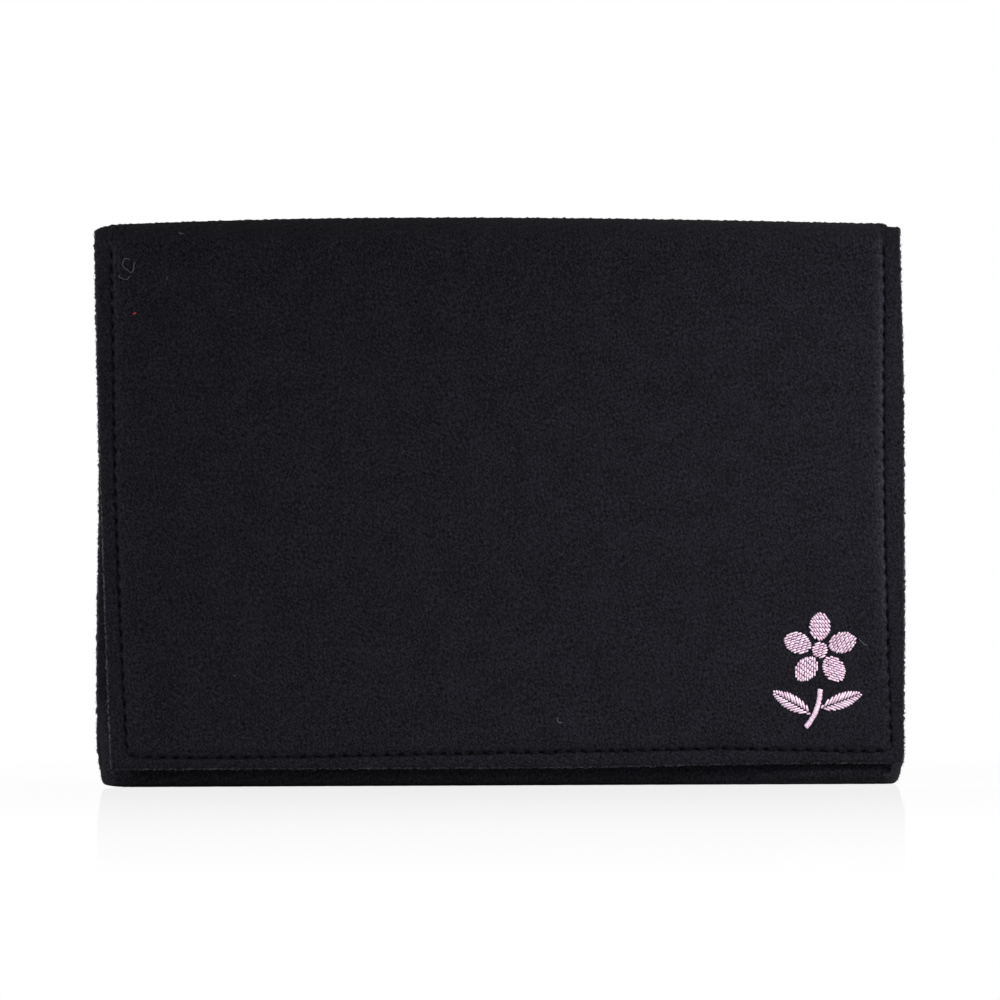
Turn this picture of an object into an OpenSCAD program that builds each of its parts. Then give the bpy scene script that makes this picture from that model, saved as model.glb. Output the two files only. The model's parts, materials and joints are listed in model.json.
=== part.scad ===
// Felt needle case: a lined strip of felt folded up into a front pocket and over the top into a full flap.
// It stands on its bottom fold, with the flap towards -Y and the back towards +Y. All sizes are millimetres.

/* [Case] */
// Width of the felt strip, side to side
case_w = 230; // [200:1:280]
// Height of the closed case at its two top corners
case_h = 159; // [140:1:200]
// Rise of the top fold at mid width
fold_camber = 2.6; // [0.5:0.1:5]
// Radius of the two top creases at mid felt
fold_r = 6; // [5:0.1:8]
// How far each bottom corner is drawn in at the table
corner_draw = 2.5; // [0.5:0.1:5]
// Height over which the bottom corners are drawn in
corner_h = 12; // [8:1:25]

/* [Felt] */
// Thickness of the cover felt
felt_t = 2.5; // [2:0.1:3.5]
// Thickness of the lining felt
lining_t = 1.2; // [0.9:0.1:2]
// Distance of the lining from the cover's cut edges
lining_trim = 1.5; // [0.5:0.1:4]
// Free gap between two panels of felt at a top crease
crease_gap = 0.3; // [0.2:0.05:0.6]

/* [Front pocket] */
// Drop from the top corners to the pocket's mouth
pocket_drop = 47; // [35:1:80]
// Clear depth of the pocket in front of the needle slots
pocket_gap = 4.6; // [4.2:0.1:12]
// Width of the flat sewn seam at each side
seam_w = 7; // [5.5:0.1:10]
// Width over which the pocket swells from its seam to full depth
swell_w = 16; // [12:0.5:24]
// Inside radius of the fold between the pocket front and the base
front_fold_r = 0.8; // [0.5:0.1:3]
// Inside radius of the fold between the base and the back
back_fold_r = 1.2; // [0.5:0.1:3]

/* [Needle slots] */
// Clear width of one needle slot along the back
slot_w = 21.2; // [17:0.1:30]
// Clear height of one needle slot at its crest
slot_rise = 6; // [5:0.1:9]
// Width of the sewn land between two slots
slot_land = 3; // [2.4:0.1:5]
// Thickness of the slot panel's felt
panel_t = 1.2; // [0.9:0.1:2]
// Drop from the top corners to the slot panel's upper edge
panel_drop = 31; // [25:1:60]
// Height of the slot panel's lower edge above the table
panel_foot = 6; // [5:0.1:15]
// Height of the sewn-shut end at the foot of each slot
slot_floor = 1.5; // [1:0.1:6]
// Flat margin beside the first and the last slot
panel_margin = 4; // [3:0.1:8]

/* [Flap] */
// Height of the flap's hem above the table
hem_h = 5.4; // [3:0.1:30]
// Distance of the border stitching from the side edges
border_side = 4.5; // [3:0.1:6]
// Distance of the border stitching from the hem
border_hem = 3.5; // [2.5:0.1:12]
// Width of the groove that the border stitching pulls into the felt
groove_w = 1.8; // [1:0.1:3]
// Depth of that groove
groove_d = 0.7; // [0.3:0.05:1.2]

/* [Stitching] */
// Length of one stitch
stitch_len = 3.2; // [1.5:0.1:6]
// Distance between two stitches in a row
stitch_gap = 0.8; // [0.4:0.1:3]
// Thickness of the sewing thread
thread_d = 0.6; // [0.3:0.05:0.9]
// Thickness of the thread that shows where it dips between two stitches
thread_dip = 0.2; // [0.1:0.05:0.25]
// Thickness of the finer thread that sews the tapes
tape_thread_d = 0.4; // [0.3:0.05:0.5]

/* [Closure] */
// Length of one piece of hook or loop tape
tape_w = 25; // [15:0.5:40]
// Height of one piece of tape
tape_h = 16; // [10:0.5:25]
// Thickness of the tape at its hooks or loops
tape_t = 1; // [0.8:0.05:2]
// Thickness of the tape's plain woven edge
tape_base_t = 0.4; // [0.2:0.05:0.5]
// Width of the tape's plain woven edge
tape_edge = 2; // [1.5:0.1:3]
// Corner radius of the tape
tape_r = 1.5; // [0.5:0.1:3]
// Free gap between the hooks and the loops when closed
tape_gap = 0.3; // [0.2:0.05:1]
// Distance of a tape's middle from the side of the case
tape_inset = 50; // [45:1:70]
// Rise of a tape's lower edge above the hem
tape_rise = 8.6; // [6:0.1:40]

/* [Embroidery] */
// Height of the embroidery above the felt
motif_t = 0.6; // [0.3:0.05:1]
// Distance of the blossom's middle from the right side of the flap
motif_side = 24; // [22:0.5:100]
// Rise of the blossom's middle above the hem
motif_rise = 33; // [30:0.5:110]
// Number of petals
petal_count = 5; // [4:1:6]
// Length of a petal
petal_l = 8.2; // [6:0.1:10]
// Width of a petal
petal_w = 6; // [4:0.1:6.5]
// Radius of the blossom's centre
centre_r = 2.2; // [1.8:0.1:4]
// Free felt between two pieces of the embroidery
motif_gap = 0.4; // [0.2:0.05:1]
// Radius of the stem's curve
stem_r = 16; // [12:0.5:40]
// Angle that the stem turns through
stem_turn = 42; // [30:1:50]
// Width of the stem
stem_w = 1.2; // [0.8:0.1:2]
// Length of a leaf
leaf_l = 13; // [8:0.1:15]
// Width of a leaf
leaf_w = 4.6; // [3:0.1:6]

/* [Hidden] */
$fn = 64;

black_felt = [0.11, 0.11, 0.13];
grey_felt = [0.2, 0.2, 0.22];
black_thread = [0.05, 0.05, 0.06];
pink_thread = [0.87, 0.7, 0.82];
tape_black = [0.08, 0.08, 0.09];

// Layers from the back's outer face to the embroidery, along -Y
inside_d = lining_t + slot_rise + panel_t + pocket_gap;
closure_d = 2 * tape_t + tape_gap;
depth = felt_t + inside_d + felt_t + closure_d + lining_t + felt_t + motif_t;
back_out = depth / 2;
back_in = back_out - felt_t;
lining_in = back_in - lining_t;
seam_out = lining_in - felt_t;
slot_crest_in = lining_in - slot_rise;
front_out = back_in - inside_d - felt_t;
flap_lining_in = front_out - closure_d;
flap_in = flap_lining_in - lining_t;
flap_out = flap_in - felt_t;

// Top fold: two quarter bends with a crease line half way round each
back_mid = back_out - felt_t / 2;
flap_mid = flap_out + felt_t / 2;
fold_z = case_h - felt_t / 2 - fold_r;
back_bend = [back_mid - fold_r, fold_z];
flap_bend = [flap_mid + fold_r, fold_z];
crease_a = 45;
back_crease = back_bend + fold_r * [cos(crease_a), sin(crease_a)];
flap_crease = flap_bend + fold_r * [-cos(crease_a), sin(crease_a)];
spine_a = crease_a + (felt_t / 2 + crease_gap) / fold_r * 180 / PI;
lining_a = crease_a - 2;
lining_r = fold_r - felt_t / 2;

// Heights
pocket_top = case_h - pocket_drop;
panel_top = case_h - panel_drop;
base_bend_z = felt_t + back_fold_r;
lining_foot = base_bend_z + lining_trim;

// Needle slots: as many as fit between the swelling sides of the pocket
slot_pitch = slot_w + slot_land;
panel_reach = 0.3;
panel_half_max = case_w / 2 - seam_w - panel_reach * swell_w;
slot_count = floor((2 * (panel_half_max - panel_margin) - slot_land) / slot_pitch);
panel_half = (slot_count * slot_pitch + slot_land) / 2 + panel_margin;
slot_r = (slot_w * slot_w / 4 + slot_rise * slot_rise) / (2 * slot_rise);

// Number of steps in each kind of curve
bend_n = 5;
swell_n = 8;
spine_n = 16;
rim_n = 7;
slot_n = 12;
draw_n = 3;

// Least flat left between the two bends of the base
base_flat = 0.3;

stitch_pitch = stitch_len + stitch_gap;
stitch_ramp = 0.3;
blossom_r = centre_r + motif_gap + petal_l;
blossom = [case_w / 2 - motif_side, hem_h + motif_rise];

// Points of an arc about c, from angle a0 to angle a1
function arc(c, r, a0, a1, n) =
    [for (k = [0:n]) let (a = a0 + (a1 - a0) * k / n) c + r * [cos(a), sin(a)]];

// A list without its first item, so that two arcs can share a point
function rest(list) = [for (k = [1:len(list) - 1]) list[k]];

function reversed(list) = [for (k = [len(list) - 1:-1:0]) list[k]];

// Outline of a rectangle with round corners
function rounded(w, h, r) =
    [for (q = [[1, 1, 0], [-1, 1, 90], [-1, -1, 180], [1, -1, 270]])
        each arc([q[0] * (w / 2 - r), q[1] * (h / 2 - r)], r, q[2], q[2] + 90, bend_n)];

// Share of the pocket's full depth at x: nothing at the seam, all of it past the swell
function swell(x) =
    let (t = min(1, max(0, (case_w / 2 - seam_w - abs(x)) / swell_w)))
    t * t * (3 - 2 * t);

// How far the side edge is drawn in at height z
function drawn_in(z) = corner_draw * pow(max(0, 1 - z / corner_h), 2);

// Mid-felt line of the body at x, from the pocket's mouth round the base to the back crease, as [y, z, normal]
function body_line(x) =
    let (
        d = lining_t + (inside_d - lining_t) * swell(x),
        y = back_in - d - felt_t / 2,
        r_most = (d + felt_t - base_flat) / 2,
        r_f = min(front_fold_r + felt_t / 2, r_most),
        r_b = min(back_fold_r + felt_t / 2, r_most),
        f = arc([y + r_f, felt_t / 2 + r_f], r_f, 180, 270, bend_n),
        b = arc([back_mid - r_b, felt_t / 2 + r_b], r_b, 270, 360, bend_n),
        top = arc(back_bend, fold_r, 0, crease_a, bend_n),
        low = [for (k = [1:draw_n]) base_bend_z + (corner_h - base_bend_z) * k / draw_n]
    )
    concat(
        [[y, pocket_top, 180]],
        [for (z = reversed(low)) [y, z, 180]],
        [for (k = [0:bend_n]) [f[k][0], f[k][1], 180 + 90 * k / bend_n]],
        [for (k = [0:bend_n]) [b[k][0], b[k][1], 270 + 90 * k / bend_n]],
        [for (z = low) [back_mid, z, 0]],
        [for (k = [0:bend_n]) [top[k][0], top[k][1], crease_a * k / bend_n]]
    );

// One face of the body's felt at x: side 1 is the outside, -1 the inside, and both end in a round rim
function body_row(x, side) =
    let (
        face = [for (p = body_line(x)) [p[0], p[1]] + side * felt_t / 2 * [cos(p[2]), sin(p[2])]],
        rim = [for (k = [1:(rim_n - 1) / 2])
            let (a = crease_a + 90 - side * (90 - k * 180 / rim_n))
            back_crease + felt_t / 2 * [cos(a), sin(a)]]
    )
    [for (p = concat(face, rim)) [x * (1 - 2 * drawn_in(p[1]) / case_w), p[0], p[1]]];

// Line of the spine between the two creases, at radius r of its bends, as [y, z] points
function spine_line(r) =
    let (
        b = arc(back_bend, r, spine_a, 90, bend_n),
        f = arc(flap_bend, r, 90, 180 - spine_a, bend_n),
        across = [for (k = [1:bend_n - 1]) b[bend_n] + (f[0] - b[bend_n]) * k / bend_n]
    )
    concat(b, across, f);

// One face of the spine at x, arched up towards mid width
function spine_row(x, r) =
    let (
        line = spine_line(r),
        rise = fold_camber * (1 - pow(2 * x / case_w, 2))
    )
    [for (k = [0:len(line) - 1])
        [x, line[k][0], line[k][1] + rise * pow(sin(180 * k / (len(line) - 1)), 2)]];

// A closed sheet between two grids of points, indexed by station along x and then along the line
module sheet(outer, inner) {
    n = len(outer);
    m = len(outer[0]);
    k = n * m;
    points = concat([for (row = outer) each row], [for (row = inner) each row]);
    skins = [for (i = [0:n - 2], j = [0:m - 2])
        let (a = i * m + j, b = a + m)
        each [[a, b, b + 1], [a, b + 1, a + 1], [k + a, k + b + 1, k + b], [k + a, k + a + 1, k + b + 1]]];
    sides = [for (j = [0:m - 2])
        let (e = (n - 1) * m + j)
        each [[j, j + 1, k + j + 1], [j, k + j + 1, k + j], [e + 1, e, k + e], [e + 1, k + e, k + e + 1]]];
    ends = [for (i = [0:n - 2])
        let (a = i * m, b = a + m, c = a + m - 1, d = b + m - 1)
        each [[b, a, k + a], [b, k + a, k + b], [c, d, k + d], [c, k + d, k + c]]];
    polyhedron(points, concat(skins, sides, ends));
}

// A y-z outline drawn out along x, w wide about the middle
module across(w) {
    rotate([90, 0, 90]) linear_extrude(w, center = true) children();
}

// A row of stitches along +X that stands up towards +Y, in the middle of a run
module stitch_row(run, d) {
    count = floor((run + stitch_gap) / stitch_pitch);
    used = count * stitch_pitch - stitch_gap;
    crests = [for (k = [0:count - 1])
        let (s = k * stitch_pitch)
        each [[s, thread_dip], [s + stitch_ramp, d],
              [s + stitch_len - stitch_ramp, d], [s + stitch_len, thread_dip]]];
    translate([(run - used) / 2, 0, 0])
        linear_extrude(d, center = true)
            polygon(concat([[0, 0]], crests, [[used, 0]]));
}

// A row of stitches up a face that looks towards -Y
module upright_row(run, d) {
    rotate([180, -90, 0]) stitch_row(run, d);
}

module cover_body() {
    half = concat([case_w / 2], [for (k = [0:swell_n]) case_w / 2 - seam_w - swell_w * k / swell_n]);
    stations = concat(-half, reversed(half));
    color(black_felt)
        sheet([for (x = stations) body_row(x, 1)], [for (x = stations) body_row(x, -1)]);
}

// A loft of the spine between two radii of its bends
module spine_sheet(r_out, r_in, w) {
    stations = [for (k = [0:spine_n]) w * (k / spine_n - 0.5)];
    sheet([for (x = stations) spine_row(x, r_out)], [for (x = stations) spine_row(x, r_in)]);
}

module cover_spine() {
    color(black_felt) spine_sheet(fold_r + felt_t / 2, lining_r, case_w);
}

module spine_lining() {
    color(grey_felt) spine_sheet(lining_r, lining_r - lining_t, case_w - 2 * lining_trim);
}

module flap_profile() {
    rim = arc(flap_crease, felt_t / 2, crease_a - 90, crease_a + 90, 2 * bend_n);
    bend_out = arc(flap_bend, fold_r + felt_t / 2, 180 - crease_a, 180, bend_n);
    bend_in = arc(flap_bend, lining_r, 180, 180 - crease_a, bend_n);
    polygon(concat(rest(rim), rest(bend_out), [[flap_out, hem_h], [flap_in, hem_h]], bend_in));
}

// The groove under the border stitching, down both sides and along the hem
module border_groove() {
    side_x = case_w / 2 - border_side;
    foot = hem_h + border_hem;
    translate([0, flap_out, 0]) {
        for (s = [-1, 1])
            translate([s * side_x - groove_w / 2, -groove_d, foot - groove_w / 2])
                cube([groove_w, 2 * groove_d, fold_z - foot]);
        translate([-side_x, -groove_d, foot - groove_w / 2])
            cube([2 * side_x, 2 * groove_d, groove_w]);
    }
}

module cover_flap() {
    color(black_felt)
        difference() {
            across(case_w) flap_profile();
            border_groove();
        }
}

module back_lining() {
    bend_out = arc(back_bend, lining_r, 0, lining_a, bend_n);
    bend_in = arc(back_bend, lining_r - lining_t, lining_a, 0, bend_n);
    color(grey_felt)
        across(case_w - 2 * lining_trim)
            polygon(concat([[lining_in, lining_foot], [back_in, lining_foot]], bend_out, bend_in));
}

module flap_lining() {
    foot = hem_h + lining_trim;
    bend_out = arc(flap_bend, lining_r, 180 - lining_a, 180, bend_n);
    bend_in = arc(flap_bend, lining_r - lining_t, 180, 180 - lining_a, bend_n);
    color(grey_felt)
        across(case_w - 2 * lining_trim)
            polygon(concat(bend_out, [[flap_in, foot], [flap_lining_in, foot]], bend_in));
}

// Front line of the slot panel, stood off its lands by off, over the slots from left to right
function panel_front(off) =
    [for (k = [0:slot_count - 1])
        let (
            mid = (k - (slot_count - 1) / 2) * slot_pitch,
            r = slot_r + off,
            half_a = acos((slot_r - slot_rise + off) / r)
        )
        each arc([mid, slot_crest_in + slot_r], r, 270 - half_a, 270 + half_a, slot_n)];

module slot_panel() {
    land = [[-panel_half, lining_in], [panel_half, lining_in]];
    face = concat([[-panel_half, lining_in - panel_t]], panel_front(panel_t), [[panel_half, lining_in - panel_t]]);
    color(grey_felt) {
        translate([0, 0, panel_foot])
            linear_extrude(slot_floor)
                polygon(concat(face, reversed(land)));
        translate([0, 0, panel_foot + slot_floor])
            linear_extrude(panel_top - panel_foot - slot_floor)
                polygon(concat(face, [land[1]], reversed(panel_front(0)), [land[0]]));
    }
}

module slot_stitching() {
    color(black_thread)
        for (k = [0:slot_count])
            translate([(k - slot_count / 2) * slot_pitch, lining_in - panel_t, panel_foot])
                upright_row(panel_top - panel_foot, thread_d);
}

// Stitching of one side seam, on the pocket front's flat seam
module seam_stitching(side) {
    color(black_thread)
        translate([side * (case_w / 2 - border_side), seam_out, lining_foot])
            upright_row(pocket_top - lining_foot, thread_d);
}

module left_seam_stitching() { seam_stitching(-1); }

module right_seam_stitching() { seam_stitching(1); }

module flap_border_stitching() {
    side_x = case_w / 2 - border_side;
    foot = hem_h + border_hem;
    color(black_thread)
        translate([0, flap_out + groove_d, foot]) {
            for (s = [-1, 1])
                translate([s * side_x, 0, thread_d])
                    upright_row(fold_z - foot - thread_d - groove_w, thread_d);
            translate([-side_x, 0, 0])
                rotate([180, 0, 0]) stitch_row(2 * side_x, thread_d);
        }
}

// One piece of tape, flat on its back: a plain woven edge round a raised field of hooks or loops
module tape() {
    linear_extrude(tape_base_t)
        polygon(rounded(tape_w, tape_h, tape_r));
    linear_extrude(tape_t)
        polygon(rounded(tape_w - 2 * tape_edge, tape_h - 2 * tape_edge, tape_r));
}

// The stitching round one piece of tape, on its plain edge
module tape_stitches() {
    long = tape_w - 2 * tape_r;
    short = tape_h - 2 * tape_edge;
    translate([0, 0, tape_base_t])
        rotate([90, 0, 0])
            for (s = [-1, 1]) {
                translate([-long / 2, 0, s * (tape_h - tape_edge) / 2])
                    stitch_row(long, tape_thread_d);
                translate([s * (tape_w - tape_edge) / 2, 0, -short / 2])
                    rotate([0, -90, 0]) stitch_row(short, tape_thread_d);
            }
}

// Places a hook tape on the flap's lining, looking inwards
module at_hook(side) {
    translate([side * (case_w / 2 - tape_inset), flap_lining_in, hem_h + tape_rise + tape_h / 2])
        rotate([-90, 0, 0]) children();
}

// Places a loop tape on the pocket front, looking outwards
module at_loop(side) {
    translate([side * (case_w / 2 - tape_inset), front_out, hem_h + tape_rise + tape_h / 2])
        rotate([90, 0, 0]) children();
}

module hook_tape_left() { color(tape_black) at_hook(-1) tape(); }

module hook_tape_right() { color(tape_black) at_hook(1) tape(); }

module loop_tape_left() { color(tape_black) at_loop(-1) tape(); }

module loop_tape_right() { color(tape_black) at_loop(1) tape(); }

module hook_tape_stitching() {
    color(black_thread) for (s = [-1, 1]) at_hook(s) tape_stitches();
}

module loop_tape_stitching() {
    color(black_thread) for (s = [-1, 1]) at_loop(s) tape_stitches();
}

// Raises an embroidered x-z shape, drawn about the blossom's middle, out of the flap's face
module embroidered() {
    color(pink_thread)
        translate([blossom[0], flap_out, blossom[1]])
            rotate([90, 0, 0]) linear_extrude(motif_t) children();
}

// A pointed oval along +X from the origin
module pointed_oval(l, w) {
    r = (l * l + w * w) / (4 * w);
    intersection() {
        translate([l / 2, r - w / 2]) circle(r);
        translate([l / 2, w / 2 - r]) circle(r);
    }
}

module motif_petals() {
    embroidered()
        for (k = [0:petal_count - 1])
            rotate(90 + 360 * k / petal_count)
                translate([centre_r + motif_gap, 0]) pointed_oval(petal_l, petal_w);
}

module motif_centre() { embroidered() circle(centre_r); }

// The stem's curve starts under the blossom and turns towards the middle of the flap
stem_bend = [-stem_r, -blossom_r - motif_gap];

module motif_stem() {
    outer = arc(stem_bend, stem_r + stem_w / 2, 0, -stem_turn, bend_n);
    inner = arc(stem_bend, stem_r - stem_w / 2, -stem_turn, 0, bend_n);
    embroidered() polygon(concat(outer, inner));
}

// A leaf beside the stem: side 1 is the outer side of its curve
module leaf(side, along, lean) {
    a = -stem_turn * along;
    foot = stem_bend + (stem_r + side * (stem_w / 2 + motif_gap)) * [cos(a), sin(a)];
    translate(foot) rotate(lean) pointed_oval(leaf_l, leaf_w);
}

module motif_leaves() {
    embroidered() {
        leaf(1, 0.45, 20);
        leaf(-1, 0.65, 150);
    }
}

cover_body();
cover_spine();
cover_flap();
back_lining();
spine_lining();
flap_lining();
slot_panel();
slot_stitching();
left_seam_stitching();
right_seam_stitching();
flap_border_stitching();
hook_tape_left();
hook_tape_right();
loop_tape_left();
loop_tape_right();
hook_tape_stitching();
loop_tape_stitching();
motif_petals();
motif_centre();
motif_leaves();
motif_stem();
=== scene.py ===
import json
import math
from collections import namedtuple

import bpy
import numpy as np
from bpy.props import FloatProperty, FloatVectorProperty, IntProperty, PointerProperty
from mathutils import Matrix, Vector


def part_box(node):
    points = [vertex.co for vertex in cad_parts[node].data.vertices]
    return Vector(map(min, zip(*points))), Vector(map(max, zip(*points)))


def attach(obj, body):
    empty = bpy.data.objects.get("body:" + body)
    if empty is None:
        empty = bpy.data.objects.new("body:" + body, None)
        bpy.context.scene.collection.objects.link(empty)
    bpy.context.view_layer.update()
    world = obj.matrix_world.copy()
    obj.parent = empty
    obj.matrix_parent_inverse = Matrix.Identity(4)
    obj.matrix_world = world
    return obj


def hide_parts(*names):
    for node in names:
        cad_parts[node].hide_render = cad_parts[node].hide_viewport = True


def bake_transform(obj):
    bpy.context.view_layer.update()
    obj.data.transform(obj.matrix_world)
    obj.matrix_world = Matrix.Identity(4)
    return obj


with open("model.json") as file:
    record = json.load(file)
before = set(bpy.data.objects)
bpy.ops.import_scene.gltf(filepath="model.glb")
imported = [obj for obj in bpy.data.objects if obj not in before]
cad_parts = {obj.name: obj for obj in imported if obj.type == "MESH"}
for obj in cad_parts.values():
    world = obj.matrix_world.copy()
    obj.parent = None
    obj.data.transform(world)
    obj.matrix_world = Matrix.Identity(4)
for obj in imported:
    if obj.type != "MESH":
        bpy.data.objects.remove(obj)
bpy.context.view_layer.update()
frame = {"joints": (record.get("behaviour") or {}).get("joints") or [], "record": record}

bl_info = {
    "name": "Felt needle case",
    "version": (1, 0, 0),
    "blender": (4, 5, 0),
    "location": "3D View > Sidebar > Needle case",
    "description": "Dresses the frame of a needle case in felt, thread, tape and embroidery",
    "category": "Object",
}

# One millimetre, in metres
MM = 0.001

# Clear spaces and creases of the frame, by name
SPACES = {space["name"]: space["box_m"] for space in frame["record"]["physics"]["openings"]}
CREASES = {joint["name"]: np.array(joint["pos_m"]) for joint in frame["joints"]}


def low(node):
    """Lowest corner of a frame node."""
    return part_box(node)[0]


def high(node):
    """Highest corner of a frame node."""
    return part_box(node)[1]


# Layers of the case, read from the frame: y levels from the back to the flap's face, and thicknesses
SIDE = high("cover_body").x
BACK_OUT = high("cover_body").y
FRONT_OUT = low("cover_body").y
BACK_IN = high("back_lining").y
LINING_IN = high("slot_panel").y
FLAP_IN = low("flap_lining").y
FLAP_OUT = low("cover_flap").y
FELT = FLAP_IN - FLAP_OUT
LINING = BACK_IN - LINING_IN
INSIDE = BACK_IN - FRONT_OUT - FELT
HEM = low("cover_flap").z
MOUTH = SPACES["front_pocket"][1][2]

# The top fold: two quarter bends, each creased half way round
BACK_CREASE = CREASES["spine_fold"]
FLAP_CREASE = CREASES["flap_fold"]
BACK_MID = BACK_OUT - FELT / 2
FLAP_MID = FLAP_OUT + FELT / 2
BEND_R = (BACK_MID - BACK_CREASE[1]) / (1 - math.cos(math.pi / 4))
BEND_Z = BACK_CREASE[2] - BEND_R * math.sin(math.pi / 4)
SPINE_Z = BEND_Z + BEND_R
SPINE_Y = (BACK_CREASE[1] + FLAP_CREASE[1]) / 2
SPINE_HALF = BACK_MID - BEND_R - SPINE_Y
CREASE_RUN = SPINE_HALF + BEND_R * math.pi / 4
BEND_END = SPINE_HALF + BEND_R * math.pi / 2
TOP = SPINE_Z + FELT / 2
CAMBER = high("cover_spine").z - TOP
CROWN_EXTRA = 0.4 * MM
CROWN_FALL = 0.7
CROWN_LEAN = 0.33
CROWN_STEP = 1.3 * MM

# Each crease's body before and after it, and the way the felt runs there, which turns within a short zone
FOLDS = {
    "spine_fold": ("case", "spine", (0.0, -1.0, 1.0)),
    "flap_fold": ("spine", "flap", (0.0, -1.0, -1.0)),
}
TURN_ZONE = 5.0 * MM

# What the crown of the spine keeps of the felt's roll, drop, puff and rounded edges
CROWN_ROLL = 0.35
CROWN_DROP = 0.7
CROWN_PUFF = 0.45
CROWN_EDGE = 0.3

# Share of the felt's lumps on the crown and past the bend
FLAP_LUMPS = (2.0, 0.4)
BODY_LUMPS = (0.6, 0.4)

# The slot panel
PANEL = LINING_IN - high("slot_stitching").y
PANEL_HALF = high("slot_panel").x
PANEL_FOOT = low("slot_panel").z
PANEL_TOP = high("slot_panel").z
SLOT_RISE = LINING_IN - PANEL - low("slot_panel").y
SLOTS = [box for name, box in SPACES.items() if name.startswith("needle_slot")]
SLOT_X = [(box[0][0] + box[1][0]) / 2 for box in SLOTS]
SLOT_PITCH = SLOT_X[1] - SLOT_X[0]
SLOT_LAND = 3.0 * MM
SLOT_STEP = 0.8 * MM
SLOT_PINCH = 0.12
SLOT_PINCH_RISE = 14.0 * MM
PANEL_WAVE = 0.35 * MM
PANEL_WAVE_RUNS = (31.0 * MM, 53.0 * MM)
PANEL_SAG = 0.6 * MM
PANEL_CLEAR = 0.05 * MM
PANEL_ROW_TOP = 1.5 * MM
PANEL_ROW_FOOT = 1.0 * MM

# Sewing of the body: flat seam, swell, base folds and drawn-in corners, and the painted highlight beside the
# seam rows
SEAM = 7.0 * MM
SWELL = 16.0 * MM
FRONT_FOLD = 2.0 * MM
BACK_FOLD = 1.2 * MM
BASE_FLAT = 0.3 * MM
LEFT_CORNER_DRAW = 2.0 * MM
LEFT_CORNER_H = 12.0 * MM
RIGHT_CORNER_DRAW = 2.3 * MM
RIGHT_CORNER_H = 7.0 * MM
CORNER_CURVE = 1.4
WAIST = 0.6 * MM
WAIST_Z = 92.0 * MM
WAIST_RUN = 30.0 * MM
FOOT_SPREAD = 0.3 * MM
FOOT_SPREAD_Z = 70.0 * MM
FOOT_SPREAD_RUN = 40.0 * MM
BASE_SEAM = 0.5 * MM
BASE_SWELL = 4.0 * MM
BASE_RUN = 24.0 * MM
BASE_BULGE = 2.2 * MM
BASE_BULGE_RUN = 9.0 * MM
BASE_BULGE_FROM = 45.0 * MM
BASE_BULGE_SPAN = 50.0 * MM
BASE_LIFT = 0.6 * MM
LIFT_RUN = 9.0 * MM
MOUTH_DIP = 0.5 * MM
MOUTH_WAVE = 0.2 * MM
MOUTH_WAVE_RUN = 13.0 * MM
SEAM_FOOT = 3.0 * MM
SEAM_FADE = 6.0 * MM
SEAM_EASE = 0.35
SEAM_ROLL_HIGHLIGHT = 0.3
MOUTH_ROOM = 2.0 * MM

# The flap hangs a little askew: its left edge leans in, its right edge starts short, its hem slopes
LEFT_SKEW = 3.9 * MM
LEFT_SKEW_CURVE = 1.4
RIGHT_TRIM = 0.9 * MM
RIGHT_SKEW = 0.85 * MM
RIGHT_SKEW_SHARE = 0.35
RIGHT_RETURN = 0.45 * MM
RIGHT_RETURN_SHARE = 0.3
BODY_RIGHT_GAIN = 0.5 * MM
BODY_GAIN_RUN = 60.0 * MM
HEM_RISE = 0.9 * MM
HEM_RISE_FROM = 15.0 * MM
HEM_RISE_RUN = 65.0 * MM
BULGE = 1.3 * MM
BULGE_RIGHT = 18.0 * MM
BULGE_LEFT = 100.0 * MM
BULGE_FOOT = 42.0 * MM
BULGE_RISE = 30.0 * MM
FLAP_CORNER = 2.5 * MM
FLAP_CORNER_DRAW = 0.25 * MM

# Rows of border stitching, in from the cut edges: at the top, and as they wander over the flap.
# The side rows go by the share of the flap's height, the hem's row by x in mm, all to a distance in mm.
BORDER_LEFT = 4.7 * MM
BORDER_RIGHT = 4.7 * MM
LEFT_ROW = ((0.0, 4.9), (0.12, 4.6), (0.25, 4.35), (0.5, 4.15), (0.62, 4.3), (0.75, 4.6), (1.0, 4.7))
RIGHT_ROW = ((0.0, 3.3), (0.07, 3.55), (0.13, 4.0), (0.2, 4.5), (0.3, 4.9), (0.4, 5.4), (0.55, 5.6),
             (0.73, 5.5), (0.8, 5.1), (0.87, 4.7), (1.0, 4.7))
HEM_ROW = ((-110.0, 3.4), (-91.0, 3.0), (-57.0, 3.1), (-23.0, 3.7), (20.0, 4.3), (60.0, 4.3), (80.0, 3.7),
           (103.0, 3.1))
BORDER_CORNER = 3.0 * MM
SUNK = -0.1 * MM
RAISED = 0.12 * MM

# One stitch: shares of its pitch and rise, its shade, how far it strays in mm, and how many threads deep
# its ends go
STITCH_SLACK = (0.06, 0.14)
STITCH_CREST = (0.85, 1.15)
STITCH_SHADE = (0.25, 0.75)
STITCH_STRAY = 0.1
STITCH_END = 0.9

# The felt beside a row: its groove, the left slope, the painted highlight on its roll, and the painted shade
# on the crown
GROOVE_BEAT = 0.8
LEFT_SLOPE = 1.2
ROLL_HIGHLIGHT_LEFT = 0.12
ROLL_HIGHLIGHT_RUN = 1.2 * MM
ROLL_HIGHLIGHT_FOOT = 5.0 * MM
ROLL_HIGHLIGHT_RISE = 70.0 * MM
ROLL_HIGHLIGHT_GAIN = 2.0
CROWN_PAINTED_SHADE = 0.3

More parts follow.
